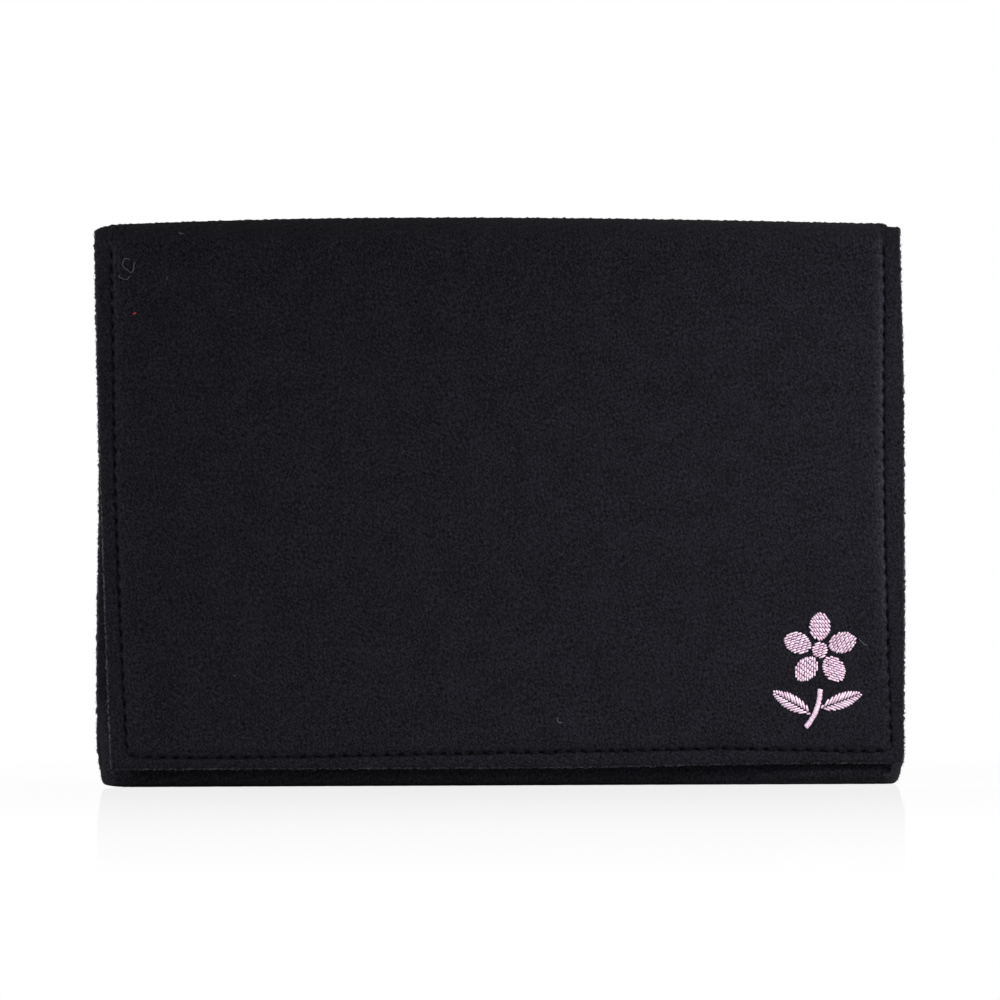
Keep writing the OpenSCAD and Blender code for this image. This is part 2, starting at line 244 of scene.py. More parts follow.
# Steps and point counts of the felt's grids, and the band at a cut edge that gets the fine steps
EDGE_BAND = 9.0 * MM
FINE_STEP = 0.25 * MM
ROW_STEP = 0.5 * MM
FLAP_STEP = 0.75 * MM
BODY_STEP = 1.6 * MM
LINING_FINE_STEP = 0.7 * MM
LINING_BACK_STEP = 2.4 * MM
LINING_FLAP_STEP = 2.0 * MM
FLAT_POINTS = 7
BEND_POINTS = 15
FOLD_POINTS = 9
BEND_ROWS = FLAT_POINTS - 1 + BEND_POINTS
LINING_ROWS = 92
LINING_BEND_POINTS = 13
LINING_FLAT_POINTS = 6
LINING_SKIP = 4
HEM_POINTS = 1600

# Rows up the pocket, the back and the slot panel, as shares of their height: the band of fine rows at each
# end, the fine step and the coarse step
POCKET_ROWS = (0.08, 0.008, 0.007)
BACK_ROWS = (0.05, 0.005, 0.0036)
PANEL_ROWS = (0.08, 0.01, 0.02)

# Cut edges: how they are rounded, and the steps of their unevenness along the columns and the rows
SOFT_EDGE = 0.45 * MM
SOFT_EDGE_RUN = 0.55 * MM
BODY_EDGE = 0.6 * MM
BODY_EDGE_RUN = 1.9 * MM
COVER_RIM = (0.71 * MM, 0.53 * MM)
LINING_RIM = (1.3 * MM, 1.1 * MM)
PANEL_RIM = (0.9 * MM, 0.8 * MM)

# Shares of the ragged setting in the waves and tufts of the cover's cut edges and in those of the thin felt,
# and how far a thin edge is rounded out for its thickness
RIM_WAVE = 0.7
RIM_TUFT = 0.4
THIN_RAGGED = 0.5
THIN_ROUND = 0.3

# Room in y and z about the line where the cover's two sheets meet, which has no fuzz
MEETING_ROOM = (1.0 * MM, 4.0 * MM)

# Edges bent by more than this, in degrees, look sharp
SHARP_ANGLE = 65.0

# How far the lining stays back from the cover's edges, and how much shorter it runs over the spine
LINING_TRIM = 1.5 * MM
LINING_SLACK = 1.4 * MM

# Loose fibres on the cut edges and the folds of the cover, and fibres that lie on its face
FUZZ_R = 0.065 * MM
FUZZ_WILD = 0.7
FUZZ_SPAN = (0.35, 1.0)
FUZZ_CURL = 0.25
FUZZ_POINTS = 5
FUZZ_ROOT = 0.1 * MM
FUZZ_ON_EDGES = 0.4 * MM
FUZZ_ON_FOLDS = 0.1 * MM
NAP_R = 0.042 * MM
NAP_SHARE = 0.65
NAP_LEANS = (0.7, -0.6)
NAP_STRAY = 0.5
NAP_SPAN = (0.4, 1.0)
NAP_CURL = 0.35
NAP_POINTS = 6
NAP_RISE = 0.06 * MM
NAP_ASIDE = 0.3

# Tapes
TAPE_BASE = 0.4 * MM
TAPE_EDGE = 2.0 * MM
TAPE_R = 1.5 * MM
TAPE_RIM = 0.1 * MM
TAPE_DENT = 0.04 * MM
TAPE_DENT_RUN = 0.9 * MM
TAPE_YARN = 0.42
TAPE_RAISED = 0.12 * MM
HOOK_BEND = 0.2 * MM
HOOK_ROOT = 0.1 * MM
HOOK_R = 0.085 * MM
LOOP_R = 0.045 * MM
LOOP_SHARE = 0.45
LOOP_SPAN = (0.6, 1.0)
LOOP_WIDTH = (0.7, 1.6)

# The embroidered sprig
MOTIF_GAP = 0.4 * MM
NEEDLE_HOLE = 0.12 * MM
SHORTEST_ROW = 0.5 * MM
STITCH_DEPTH = 0.34 * MM
PETALS = 5
PETAL_W = 6.0 * MM
PETAL_LEAN = 0.62
HEART_LEAN = 0.35
STEM_R = 16.0 * MM
STEM_TURN = 42.0
STEM_W = 1.2 * MM
STEM_SLANT = 0.05
LEAF_L = 13.0 * MM
LEAF_W = 4.6 * MM
LEAF_LEAN = 0.72
MIDRIB = 0.08 * MM
LEAVES = ((1, 0.45, 20.0), (-1, 0.65, 150.0))

# Stray hairs of lint: x and z of the middle and span in mm, and turn and curl in degrees
LINT = (
    (-105.6, 148.8, 10.5, 150.0, -300.0),
    (-106.8, 145.3, 4.6, -10.0, 130.0),
    (16.5, 18.5, 2.6, -60.0, 170.0),
    (103.2, 40.5, 3.4, -45.0, 60.0),
    (-75.8, 31.9, 0.6, 20.0, 40.0),
    (-90.6, 158.0, 1.7, -25.0, 120.0),
    (-94.6, 145.2, 1.1, 80.0, 60.0),
)
RED_LINT = ((-103.9, 135.2, 1.0, 20.0, 30.0),)
LINT_R = 0.04 * MM
RED_LINT_R = 0.12 * MM
LINT_RISE = 0.1 * MM

# Tints of a felt's own colour: its darkest and palest fibres, and its painted shade in the grooves and on the
# crown, with how much of it is mixed in
FIBRE_TINTS = (0.28, 2.35)
PAINTED_SHADE_TINT = 0.15
PAINTED_SHADE_SHARE = 0.65

# Lamps and floor, in metres, with the cone of the key light in degrees
KEY_PLACE = (0.92, -0.57, 0.50)
KEY_AIM = (0.117, 0.0, 0.087)
KEY_CONE = 17.5
KEY_SIZE = 0.08
SIDE_PLACE = (-0.99, -0.57, 0.42)
SIDE_SIZE = 0.5
BACK_PLACE = (0.6, 1.6, 0.2)
BACK_SIZE = 0.3
FLOOR_HALF = 12.0
WHITE = (1.0, 1.0, 1.0, 1.0)

# Faces of a sheet of felt, its mid felt and normals, the run of its rows, its painted light (painted shade
# above 0, painted highlight below 0), the first row of its outside, and its rows on the spine and the bend
Skins = namedtuple("Skins", "outer inner middle way run pressed outside fold")


# Settings that a user would change

def colour_setting(name, description, default):
    """A colour."""
    return FloatVectorProperty(
        name=name, description=description, default=default, subtype="COLOR", min=0, max=1)


def length_setting(name, description, millimetres):
    """A length, kept in metres."""
    return FloatProperty(
        name=name, description=description, default=millimetres * MM, unit="LENGTH", precision=5)


def power_setting(name, description, watts):
    """Power of a lamp."""
    return FloatProperty(name=name, description=description, default=watts, unit="POWER")


def count_setting(name, description, default):
    """Number of small pieces."""
    return IntProperty(name=name, description=description, default=default, min=0)


class FeltSettings(bpy.types.PropertyGroup):
    """Felt of the cover, the lining and the slot panel."""

    colour: colour_setting("Cover colour", "Black of the cover felt", (0.0122, 0.0116, 0.0152))
    # Paler fibres with a painted highlight on the cover's cut edges; also the colour of the grey lint
    fibre_and_edge_highlight: colour_setting(
        "Fibre colour", "Paler fibres on a cut edge of the cover", (0.075, 0.075, 0.079))
    lining_colour: colour_setting(
        "Lining colour", "Dark grey of the lining and the slot panel", (0.030, 0.030, 0.034))
    red_lint: colour_setting("Red lint", "Colour of the red hair of lint", (0.30, 0.015, 0.02))
    puff: length_setting("Puff", "Swell of the flap inside its border stitching", 0.55)
    border_drop: length_setting("Border drop", "How far the border lies below the puffed felt", 1.3)
    roll: length_setting("Roll", "Run over which the felt rolls down to its border", 3.2)
    groove_depth: length_setting("Groove depth", "Depth that a row of stitches pulls into the felt", 0.7)
    groove_width: length_setting("Groove width", "Half width of the groove under a row of stitches", 0.42)
    pucker: length_setting("Pucker", "How far the groove wanders between one stitch and the next", 0.16)
    scallop: length_setting("Scallop", "How far the roll closes over the row between two stitches", 0.25)
    wave: length_setting("Wave", "Height of the felt's slow waves", 0.22)
    lump: length_setting("Lumps", "Height of the small lumps of the felt's face", 0.12)
    ragged: length_setting("Ragged edge", "Unevenness of a cut edge", 0.3)
    fuzz: length_setting("Fuzz", "Length of the loose fibres on a cut edge or a fold", 0.34)
    fuzz_count: count_setting("Fuzz count", "Loose fibres on each piece of the cover", 9000)
    nap: length_setting("Nap", "Length of the fibres that lie on the face of the felt", 1.3)
    nap_count: count_setting("Nap count", "Fibres that lie on the face of each piece of the cover", 9000)


class ThreadSettings(bpy.types.PropertyGroup):
    """Sewing and embroidery threads."""

    sewing_colour: colour_setting("Sewing thread", "Black of the sewing thread", (0.0050, 0.0050, 0.0062))
    pink: colour_setting("Embroidery thread", "Pale pink of the embroidery thread", (1.0, 0.82, 0.96))
    pink_dark: colour_setting(
        "Embroidery shade", "Mauve in the shade of the embroidery thread", (0.52, 0.28, 0.43))
    sewing_d: length_setting("Sewing thread size", "Thickness of the sewing thread", 0.42)
    fine_d: length_setting("Fine thread size", "Thickness of the thread that sews the tapes", 0.36)
    embroidery_d: length_setting("Embroidery thread size", "Thickness of the embroidery thread", 0.56)
    stitch: length_setting("Stitch", "Length from one needle hole to the next", 4.0)
    row_gap: length_setting("Row gap", "Distance between two rows of embroidery", 0.66)
    fill_stitch: length_setting("Fill stitch", "Length of one stitch in a filled shape", 1.5)


class TapeSettings(bpy.types.PropertyGroup):
    """Hook and loop tapes."""

    colour: colour_setting("Tape colour", "Black of the woven tape", (0.009, 0.009, 0.010))
    hook_pitch: length_setting("Hook pitch", "Distance between two hooks", 1.05)
    loop_count: count_setting("Loops", "Loops on one piece of loop tape", 520)


class StageSettings(bpy.types.PropertyGroup):
    """Floor, light and camera."""

    floor_colour: colour_setting("Floor", "Pale floor", (0.82, 0.82, 0.82))
    shadow_share: FloatProperty(
        name="Shadow", description="How much of the shadow the floor shows beside the case", default=0.06)
    shadow_reach: length_setting("Shadow reach", "Distance at which the floor is plain white", 600.0)
    shine_share: FloatProperty(
        name="Reflection", description="How much the floor reflects beside the case", default=0.14)
    shine_reach: length_setting("Reflection reach", "Distance at which the floor stops reflecting", 1350.0)
    key_power: power_setting("Key light", "Power of the spot at the right", 74.0)
    side_power: power_setting("Side light", "Power of the soft light at the left", 11.0)
    back_power: power_setting("Back light", "Power of the soft light behind the case", 26.0)
    ambient: FloatProperty(
        name="Ambient", description="Strength of the light from all round", default=0.12)
    camera_roll: FloatProperty(
        name="Camera roll", description="Turn of the camera about its own axis",
        default=math.radians(0.25), unit="ROTATION")
    camera_distance: length_setting("Camera distance", "Distance from the camera to the flap", 5000.0)
    frame_width: length_setting("Frame width", "Width of the picture at the flap", 285.0)
    frame_middle: length_setting("Frame middle", "Height of the picture's middle above the floor", 81.55)


# Small helpers for curves and grids

def smooth(t):
    """Eases from 0 to 1 as t goes from 0 to 1."""
    t = np.clip(t, 0.0, 1.0)
    return t * t * (3.0 - 2.0 * t)


def soft_min(a, b, reach):
    """The lesser of two distances, rounded where they are nearly alike."""
    mix = np.clip(0.5 + 0.5 * (b - a) / reach, 0.0, 1.0)
    return b + (a - b) * mix - reach * mix * (1.0 - mix)


def unit(vectors):
    """Vectors of length one."""
    return vectors / np.maximum(np.linalg.norm(vectors, axis=-1, keepdims=True), 1e-12)


def graded(length, band, fine, coarse):
    """Distances from 0 to length, in fine steps within a band at each end and coarse ones between."""
    edge = np.linspace(0.0, band, round(band / fine) + 1)
    middle = np.linspace(band, length - band, round((length - 2 * band) / coarse) + 1)
    return np.concatenate([edge[:-1], middle, (length - edge[::-1])[1:]])


def spread(distance, left, right):
    """Places columns between two edges: true distances near both edges, evenly stretched between."""
    total = distance[-1]
    share = np.clip((distance - EDGE_BAND) / (total - 2 * EDGE_BAND), 0.0, 1.0)
    return left + distance[:, None] + (right - left - total) * share[:, None]


def normals(grid):
    """Outward unit normals of a grid of (columns, rows) points."""
    return unit(np.cross(np.gradient(grid, axis=1), np.gradient(grid, axis=0)))


def ripple(distance, seed, lengths=(1.3 * MM, 1.9 * MM, 3.7 * MM)):
    """An uneven line of about unit height along a distance."""
    phases = np.random.default_rng(seed).uniform(0, 2 * np.pi, len(lengths))
    return sum(np.sin(2 * np.pi * distance / run + p) for run, p in zip(lengths, phases)) / len(lengths)


def slow_waves(x, s):
    """Slow waves of about unit height over a sheet of felt."""
    broad = np.sin(x / (19.0 * MM) + s / (31.0 * MM) + 0.4)
    cross = np.sin(x / (43.0 * MM) - s / (17.0 * MM) + 2.1)
    return 0.6 * broad + 0.4 * cross


def lumps(x, s):
    """Small lumps of about unit height over the face of the felt."""
    wandering = np.sin(x / (0.41 * MM) + 1.3 * np.sin(s / (1.1 * MM)))
    leaning = np.sin(x / (0.29 * MM) - s / (0.52 * MM))
    level = np.sin(s / (0.47 * MM) + x / (1.3 * MM))
    return 0.4 * (wandering + leaning + level)


def table(value, pairs):
    """Reads a table of pairs between its entries."""
    return np.interp(value, [pair[0] for pair in pairs], [pair[1] for pair in pairs])


def along(points):
    """Distance along a line of points, from its start."""
    steps = np.linalg.norm(np.diff(points, axis=0), axis=1)
    return np.concatenate([[0.0], np.cumsum(steps)])


def towards(y, count):
    """The way to the front or to the back, for each of a count of points."""
    return np.tile((0.0, y, 0.0), (count, 1))


# Meshes

def new_piece(name, points, faces, material, values=None, corner_uv=None):
    """A smooth-shaded mesh object with named values on its points."""
    mesh = bpy.data.meshes.new(name)
    mesh.from_pydata(np.asarray(points).tolist(), [], faces)
    for label, numbers in (values or {}).items():
        numbers = np.asarray(numbers, np.float32)
        kind, field = ("FLOAT", "value") if numbers.ndim == 1 else ("FLOAT_VECTOR", "vector")
        layer = mesh.attributes.new(label, kind, "POINT")
        layer.data.foreach_set(field, numbers.ravel())
    if corner_uv is not None:
        mesh.uv_layers.new(name="thread").data.foreach_set("uv", corner_uv.astype(np.float32).ravel())
    mesh.shade_smooth()
    mesh.set_sharp_from_angle(angle=math.radians(SHARP_ANGLE))
    mesh.materials.append(material)
    return new_object(name, mesh)


def new_object(name, data):
    """An object in the scene."""
    made = bpy.data.objects.new(name, data)
    bpy.context.scene.collection.objects.link(made)
    return made


def carry(piece, slot, carrier, *nodes):
    """Hides the nodes a piece replaces and parents it to its body; at a crease it only bakes it in place. The
    slot is not used.
    """
    if nodes:
        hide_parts(*nodes)
    if carrier not in FOLDS:
        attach(piece, carrier)
        return
    before, after, way = FOLDS[carrier]
    ahead = np.array(way) / math.sqrt(2) * TURN_ZONE
    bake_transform(piece)


def grid_faces(index, flip):
    """Quads over a grid of point numbers."""
    corners = [index[:-1, :-1], index[:-1, 1:], index[1:, 1:], index[1:, :-1]]
    quads = np.stack(corners, axis=-1).reshape(-1, 4)
    return quads[:, ::-1] if flip else quads


def round_the_rim(columns, rows):
    """Point numbers once round the border of a grid, along the first column first."""
    index = np.arange(columns * rows).reshape(columns, rows)
    return np.concatenate([index[0, :-1], index[:-1, -1], index[-1, :0:-1], index[:0:-1, 0]])


def ragged_rim(size, steps, plain, uneven, seed):
    """How far each border point of a cut sheet stands out: a plain distance, and an uneven one."""
    run = np.arange(size[0])[:, None] * steps[0] + np.arange(size[1])[None, :] * steps[1]
    return plain + uneven * ripple(run, seed)


def closed_sheet(outer, inner, bulge):
    """A closed sheet between two grids of points, its border rounded out by a bulge at each border point.

    Returns the points, the faces, a mask that is 1 on the cut border, and the border's outermost line
    and way out. A border without a bulge meets another piece, so it counts as uncut.
    """
    columns, rows = outer.shape[:2]
    count = columns * rows
    index = np.arange(count).reshape(columns, rows)
    middle = (outer + inner) / 2
    out = np.zeros_like(middle)
    out[0] += unit(middle[0] - middle[1])
    out[-1] += unit(middle[-1] - middle[-2])
    out[:, 0] += unit(middle[:, 0] - middle[:, 1])
    out[:, -1] += unit(middle[:, -1] - middle[:, -2])
    ring = round_the_rim(columns, rows)
    out = unit(out.reshape(-1, 3)[ring])
    centre = middle.reshape(-1, 3)[ring]
    half = ((outer - inner) / 2).reshape(-1, 3)[ring]
    bulge = bulge.reshape(-1)[ring][:, None]
    turns = np.radians((45.0, 90.0, 135.0))
    rims = [centre + half * math.cos(a) + out * bulge * math.sin(a) for a in turns]
    points = np.concatenate([outer.reshape(-1, 3), inner.reshape(-1, 3), *rims])
    size = len(ring)
    bands = [ring, *(2 * count + k * size + np.arange(size) for k in range(len(rims))), ring + count]
    faces = [grid_faces(index, False), grid_faces(index + count, True)]
    for above, below in zip(bands, bands[1:]):
        ahead, under = np.roll(above, -1), np.roll(below, -1)
        faces.append(np.stack([above, below, under, ahead], axis=1))
    cut = np.where(bulge[:, 0] == 0.0, 0.0, 1.0)
    mask = np.concatenate([np.zeros(2 * count), np.tile(cut, len(rims))])
    mask[ring] = 0.5 * cut
    return points, np.concatenate(faces).tolist(), mask, rims[1], out


class Tubes:
    """Collects closed round tubes, such as stitches, hooks and fibres, into one mesh."""

    def __init__(self):
        self.points, self.faces, self.uv, self.shade = [], [], [], []
        self.count = 0

    def add(self, paths, sideways, radius, sides, shade):
        """Adds tubes along paths of (tubes, rings, 3) points, with one sideways vector for each."""
        tubes, rings = paths.shape[:2]
        ahead = unit(np.gradient(paths, axis=1))
        across = np.broadcast_to(unit(sideways)[:, None, :], paths.shape)
        up = unit(np.cross(across, ahead))
        turn = 2 * np.pi * np.arange(sides) / sides
        wide = np.broadcast_to(np.asarray(radius, float), (tubes, rings))[:, :, None, None]
        spoke = up[:, :, None] * np.cos(turn)[:, None] + across[:, :, None] * np.sin(turn)[:, None]
        ring = paths[:, :, None] + wide * spoke
        index = self.count + np.arange(tubes * rings * sides).reshape(tubes, rings, sides)
        following = np.roll(index, -1, axis=2)
        quads = np.stack([index[:, :-1], following[:, :-1], following[:, 1:], index[:, 1:]], axis=-1)
        steps = np.linalg.norm(np.diff(paths, axis=1), axis=2)
        run = np.concatenate([np.zeros((tubes, 1)), np.cumsum(steps, axis=1)], axis=1) / MM
        left = np.arange(sides) / sides
        right = left + 1.0 / sides
        u = np.stack([left, right, right, left], axis=-1)
        v = np.stack([run[:, :-1], run[:, :-1], run[:, 1:], run[:, 1:]], axis=-1)
        shape = (tubes, rings - 1, sides, 4)
        uv = np.stack([np.broadcast_to(u, shape), np.broadcast_to(v[:, :, None], shape)], axis=-1)
        self.points.append(ring.reshape(-1, 3))
        self.faces += quads.reshape(-1, 4).tolist()
        self.uv.append(uv.reshape(-1, 2))
        for end, order in ((0, -1), (rings - 1, 1)):
            self.faces += index[:, end, ::order].tolist()
            caps = np.stack([np.tile(left, (tubes, 1)), np.repeat(run[:, end, None], sides, axis=1)], axis=-1)
            self.uv.append(caps.reshape(-1, 2))
        tone = np.broadcast_to(np.reshape(shade, (tubes, -1)), (tubes, rings))
        self.shade.append(np.repeat(tone.ravel(), sides))
        self.count += tubes * rings * sides

    def piece(self, name, material):
        """Makes the collected tubes into one piece."""
        values = {"shade": np.concatenate(self.shade)}
        return new_piece(name, np.concatenate(self.points), self.faces, material, values,
                         np.concatenate(self.uv))


# Shader nodes

class Wiring:
    """Adds nodes to a tree and links them."""

    def __init__(self, tree):
        self.tree = tree

    def link(self, source, target):
        """Links one socket to another."""
        self.tree.links.new(source, target)

    def add(self, kind, inputs=None, **settings):
        """A node with its settings, whose inputs are linked to sockets or set to values."""
        node = self.tree.nodes.new(kind)
        for label, value in settings.items():
            setattr(node, label, value)
        for label, value in (inputs or {}).items():
            socket = node.inputs[label]
            if isinstance(value, bpy.types.NodeSocket):
                self.link(value, socket)
            else:
                socket.default_value = value
        return node

    def maths(self, operation, a, b=0.0, clamp=False):
        """Result of a sum on two values."""
        return self.add("ShaderNodeMath", {0: a, 1: b}, operation=operation, use_clamp=clamp).outputs[0]

    def mix(self, share, a, b):
        """Mix of two colours."""
        return self.add("ShaderNodeMix", {0: share, 6: a, 7: b}, data_type="RGBA").outputs[2]

    def mix_shaders(self, share, a, b):
        """Mix of two shader nodes."""
        return self.add("ShaderNodeMixShader", {0: share, 1: a.outputs[0], 2: b.outputs[0]})

    def ramp(self, value, low_end, high_end):
        """Value stretched so that low_end becomes 0 and high_end becomes 1."""
        inputs = {"Value": value, "From Min": low_end, "From Max": high_end}
        return self.add("ShaderNodeMapRange", inputs, clamp=True).outputs[0]

    def noise(self, vector, scale, **more):
        """Cloudy noise of a scale."""
        inputs = {"Vector": vector, "Scale": scale, "Detail": 2.0, **more}
        return self.add("ShaderNodeTexNoise", inputs).outputs[0]

    def attribute(self, name, socket="Fac"):
        """A named value on the points of a piece."""
        return self.add("ShaderNodeAttribute", attribute_name=name).outputs[socket]

    def coordinates(self, socket="Object"):
        """Coordinates on a piece."""
        return self.add("ShaderNodeTexCoord").outputs[socket]

    def group(self, builder, inputs):
        """Outputs of a shared effect, which is built on its first use and named after its builder."""
        tree = bpy.data.node_groups.get(builder.__name__) or builder()
        return self.add("ShaderNodeGroup", inputs, node_tree=tree).outputs

    def seen(self):
        """1 for rays from the camera, from a mirror or through glass."""
        path = self.add("ShaderNodeLightPath").outputs
        first = self.maths("MAXIMUM", path["Is Camera Ray"], path["Is Glossy Ray"])
        return self.maths("MAXIMUM", first, path["Is Transmission Ray"])

    def surface(self, base, height, strength, depth, inputs):
        """A Principled shader of a base colour, with bumps of a strength and depth."""
        bump = self.add("ShaderNodeBump", {"Height": height, "Strength": strength, "Distance": depth})
        inputs = {"Base Color": base, "Normal": bump.outputs[0], **inputs}
        return self.add("ShaderNodeBsdfPrincipled", inputs)


def new_group(builder, value, default, outputs):
    """A shader node group that takes a place and one value, with its wiring, inputs and outputs."""
    tree = bpy.data.node_groups.new(builder.__name__, "ShaderNodeTree")
    tree.interface.new_socket("Vector", in_out="INPUT", socket_type="NodeSocketVector")
    socket = tree.interface.new_socket(value, in_out="INPUT", socket_type="NodeSocketFloat")
    socket.default_value = default
    for label in outputs:
        tree.interface.new_socket(label, in_out="OUTPUT", socket_type="NodeSocketFloat")
    wiring = Wiring(tree)
    return tree, wiring, wiring.add("NodeGroupInput").outputs, wiring.add("NodeGroupOutput").inputs


def felt_fibres():
    """Pressed fibres: short streaks that cross each other on the bias, over a cloudy ground."""
    tree, wiring, given, result = new_group(felt_fibres, "Fibre Size", 0.5, ("Tone", "Height"))
    density = wiring.maths("DIVIDE", 1.0 / MM, given["Fibre Size"])
    streaks = []
    for lean, stretch in ((0.75, 0.25), (-0.60, 0.30)):
        turned = wiring.add("ShaderNodeVectorRotate", {"Vector": given["Vector"], "Angle": lean},
                            rotation_type="Y_AXIS")
        drawn = wiring.add("ShaderNodeVectorMath", {0: turned.outputs[0], 1: (1.0, 1.0, stretch)},
                           operation="MULTIPLY")
        streaks.append(wiring.noise(drawn.outputs[0], density, Roughness=0.6))
    crossed = wiring.maths("MAXIMUM", *streaks)
    cloud = wiring.noise(given["Vector"], 120.0)
    cloud_share = 0.07
    blend = wiring.maths("ADD", wiring.maths("MULTIPLY", crossed, 1.0 - cloud_share),
                         wiring.maths("MULTIPLY", cloud, cloud_share))
    wiring.link(wiring.ramp(blend, 0.47, 0.71), result["Tone"])
    wiring.link(crossed, result["Height"])
    return tree


def cut_edge():
    """Broken paler line on a cut edge: paler fibres with a painted highlight."""
    tree, wiring, given, result = new_group(cut_edge, "Rim", 0.0, ("Mask",))
    broken = wiring.ramp(wiring.noise(given["Vector"], 1400.0), 0.46, 0.62)
    edge = wiring.ramp(given["Rim"], 0.25, 0.8)
    wiring.link(wiring.maths("MULTIPLY", broken, edge), result["Mask"])
    return tree


def thread_twist():
    """Plies of a twisted thread, from its round and long coordinates."""
    tree, wiring, given, result = new_group(thread_twist, "Lay", 1.2, ("Ply",))
    parts = wiring.add("ShaderNodeSeparateXYZ", {0: given["Vector"]}).outputs
    plies = 2.0
    turns = wiring.maths("ADD", wiring.maths("MULTIPLY", parts[0], plies),
                         wiring.maths("DIVIDE", parts[1], given["Lay"]))
    wave = wiring.maths("SINE", wiring.maths("MULTIPLY", turns, 2 * math.pi))
    wiring.link(wiring.ramp(wave, -1.0, 1.0), result["Ply"])
    return tree


def tape_weave():
    """Plain weave of a narrow tape."""
    tree, wiring, given, result = new_group(tape_weave, "Yarn", 0.45, ("Weave",))
    parts = wiring.add("ShaderNodeSeparateXYZ", {0: given["Vector"]}).outputs
    density = wiring.maths("DIVIDE", math.pi / MM, given["Yarn"])
    warp = wiring.maths("SINE", wiring.maths("MULTIPLY", parts[0], density))
    weft = wiring.maths("SINE", wiring.maths("MULTIPLY", parts[2], density))
    wiring.link(wiring.ramp(wiring.maths("MULTIPLY", warp, weft), -1.0, 1.0), result["Weave"])
    return tree


# Materials

def tinted(colour, by=1.0):
    """A colour made lighter or darker, as RGBA."""
    return (*(min(1.0, c * by) for c in colour), 1.0)


def node_material(name, build, *details):
    """A material, made on its first use by a function that adds its nodes and returns the last of them."""
    known = bpy.data.materials.get(name)
    if known:
        return known
    material = bpy.data.materials.new(name)
    material.use_nodes = True
    material.node_tree.nodes.clear()
    wiring = Wiring(material.node_tree)
    shader = build(wiring, *details)
    wiring.add("ShaderNodeOutputMaterial", {"Surface": shader.outputs[0]})
    return material


def felt_nodes(wiring, colour, edge_colour, fibre_size):
    """Pressed felt with mottled fibres, a paler cut edge of fibres with a painted highlight, and painted
    shade and painted highlight beside the rows of stitches.
    """
    place = wiring.attribute("felt_place", "Vector")
    fibres = wiring.group(felt_fibres, {"Vector": place, "Fibre Size": fibre_size})
    edge = wiring.group(cut_edge, {"Vector": wiring.coordinates(), "Rim": wiring.attribute("rim")})
    ground = wiring.mix(fibres["Tone"], *(tinted(colour, by) for by in FIBRE_TINTS))
    # Painted shade darkens the felt in the grooves and on the crown; painted highlight lightens the roll
    # beside the rows
    pressed = wiring.attribute("pressed")
    painted_shade_share = wiring.maths("MULTIPLY", pressed, PAINTED_SHADE_SHARE, True)
    painted_shade = wiring.mix(painted_shade_share, ground, tinted(colour, PAINTED_SHADE_TINT))
    loose_fibres_and_highlight = wiring.maths("MULTIPLY", pressed, -1.0, True)
    brighter = wiring.maths("ADD", wiring.maths("MULTIPLY", loose_fibres_and_highlight, ROLL_HIGHLIGHT_GAIN), 1.0)
    roll_highlight = wiring.add("ShaderNodeVectorMath", {0: painted_shade, "Scale": brighter}, operation="SCALE")
    base = wiring.mix(edge["Mask"], roll_highlight.outputs[0], tinted(edge_colour))
    return wiring.surface(base, fibres["Height"], 0.7, 0.3 * MM, {
        "Roughness": 0.95, "Specular IOR Level": 0.0, "Sheen Weight": 0.02, "Sheen Roughness": 0.6})


def cover_felt(felt):
    """Black felt of the cover."""
    return node_material("cover_felt_black", felt_nodes, felt.colour, felt.fibre_and_edge_highlight, 0.30)


def lining_felt(felt):
    """Dark grey felt of the lining and the slot panel."""
    # Paler fibres with a painted highlight on the lining's cut edges
    edge_colour = tinted(felt.lining_colour, 1.8)[:3]
    return node_material("lining_felt_grey", felt_nodes, felt.lining_colour, edge_colour, 0.45)


def thread_nodes(wiring, dark, light, roughness, gloss):
    """Twisted thread between a dark and a light colour, with a shade of its own for each stitch; on the
    embroidery it darkens towards the stitch ends as painted shade.
    """
    ply = wiring.group(thread_twist, {"Vector": wiring.coordinates("UV")})["Ply"]
    own_share = 0.65
    share = wiring.maths("ADD", wiring.maths("MULTIPLY", wiring.attribute("shade"), own_share),
                         wiring.maths("MULTIPLY", ply, 1.0 - own_share))
    base = wiring.mix(share, dark, light)
    return wiring.surface(base, ply, 0.4, 0.06 * MM, {"Roughness": roughness, "Specular IOR Level": gloss})


def sewing_thread(thread):
    """Black sewing thread."""
    tints = tinted(thread.sewing_colour, 0.6), tinted(thread.sewing_colour, 1.5)
    return node_material("sewing_thread_black", thread_nodes, *tints, 0.7, 0.05)


def loose_fibre(felt):
    """Loose fibres of the cover, from black to grey."""
    tints = tinted(felt.colour, 0.8), tinted(felt.colour, 4.5)
    return node_material("cover_felt_fibre", thread_nodes, *tints, 0.9, 0.0)


def lint_fibre(name, colour):
    """Lint of one colour."""
    return node_material(f"{name}_fibre", thread_nodes, tinted(colour, 1.6), tinted(colour, 4.5), 0.8, 0.1)


def pink_thread(thread):
    """Pink embroidery thread with a silky shine."""
    tints = tinted(thread.pink_dark), tinted(thread.pink)
    return node_material("embroidery_thread_pink", thread_nodes, *tints, 0.3, 0.9)


def tape_nodes(wiring, colour):
    """Woven tape."""
    weave = wiring.group(tape_weave, {"Vector": wiring.coordinates(), "Yarn": TAPE_YARN})["Weave"]
    base = wiring.mix(weave, tinted(colour, 0.55), tinted(colour, 1.6))
    return wiring.surface(base, weave, 0.6, 0.12 * MM, {"Roughness": 0.6, "Specular IOR Level": 0.3})


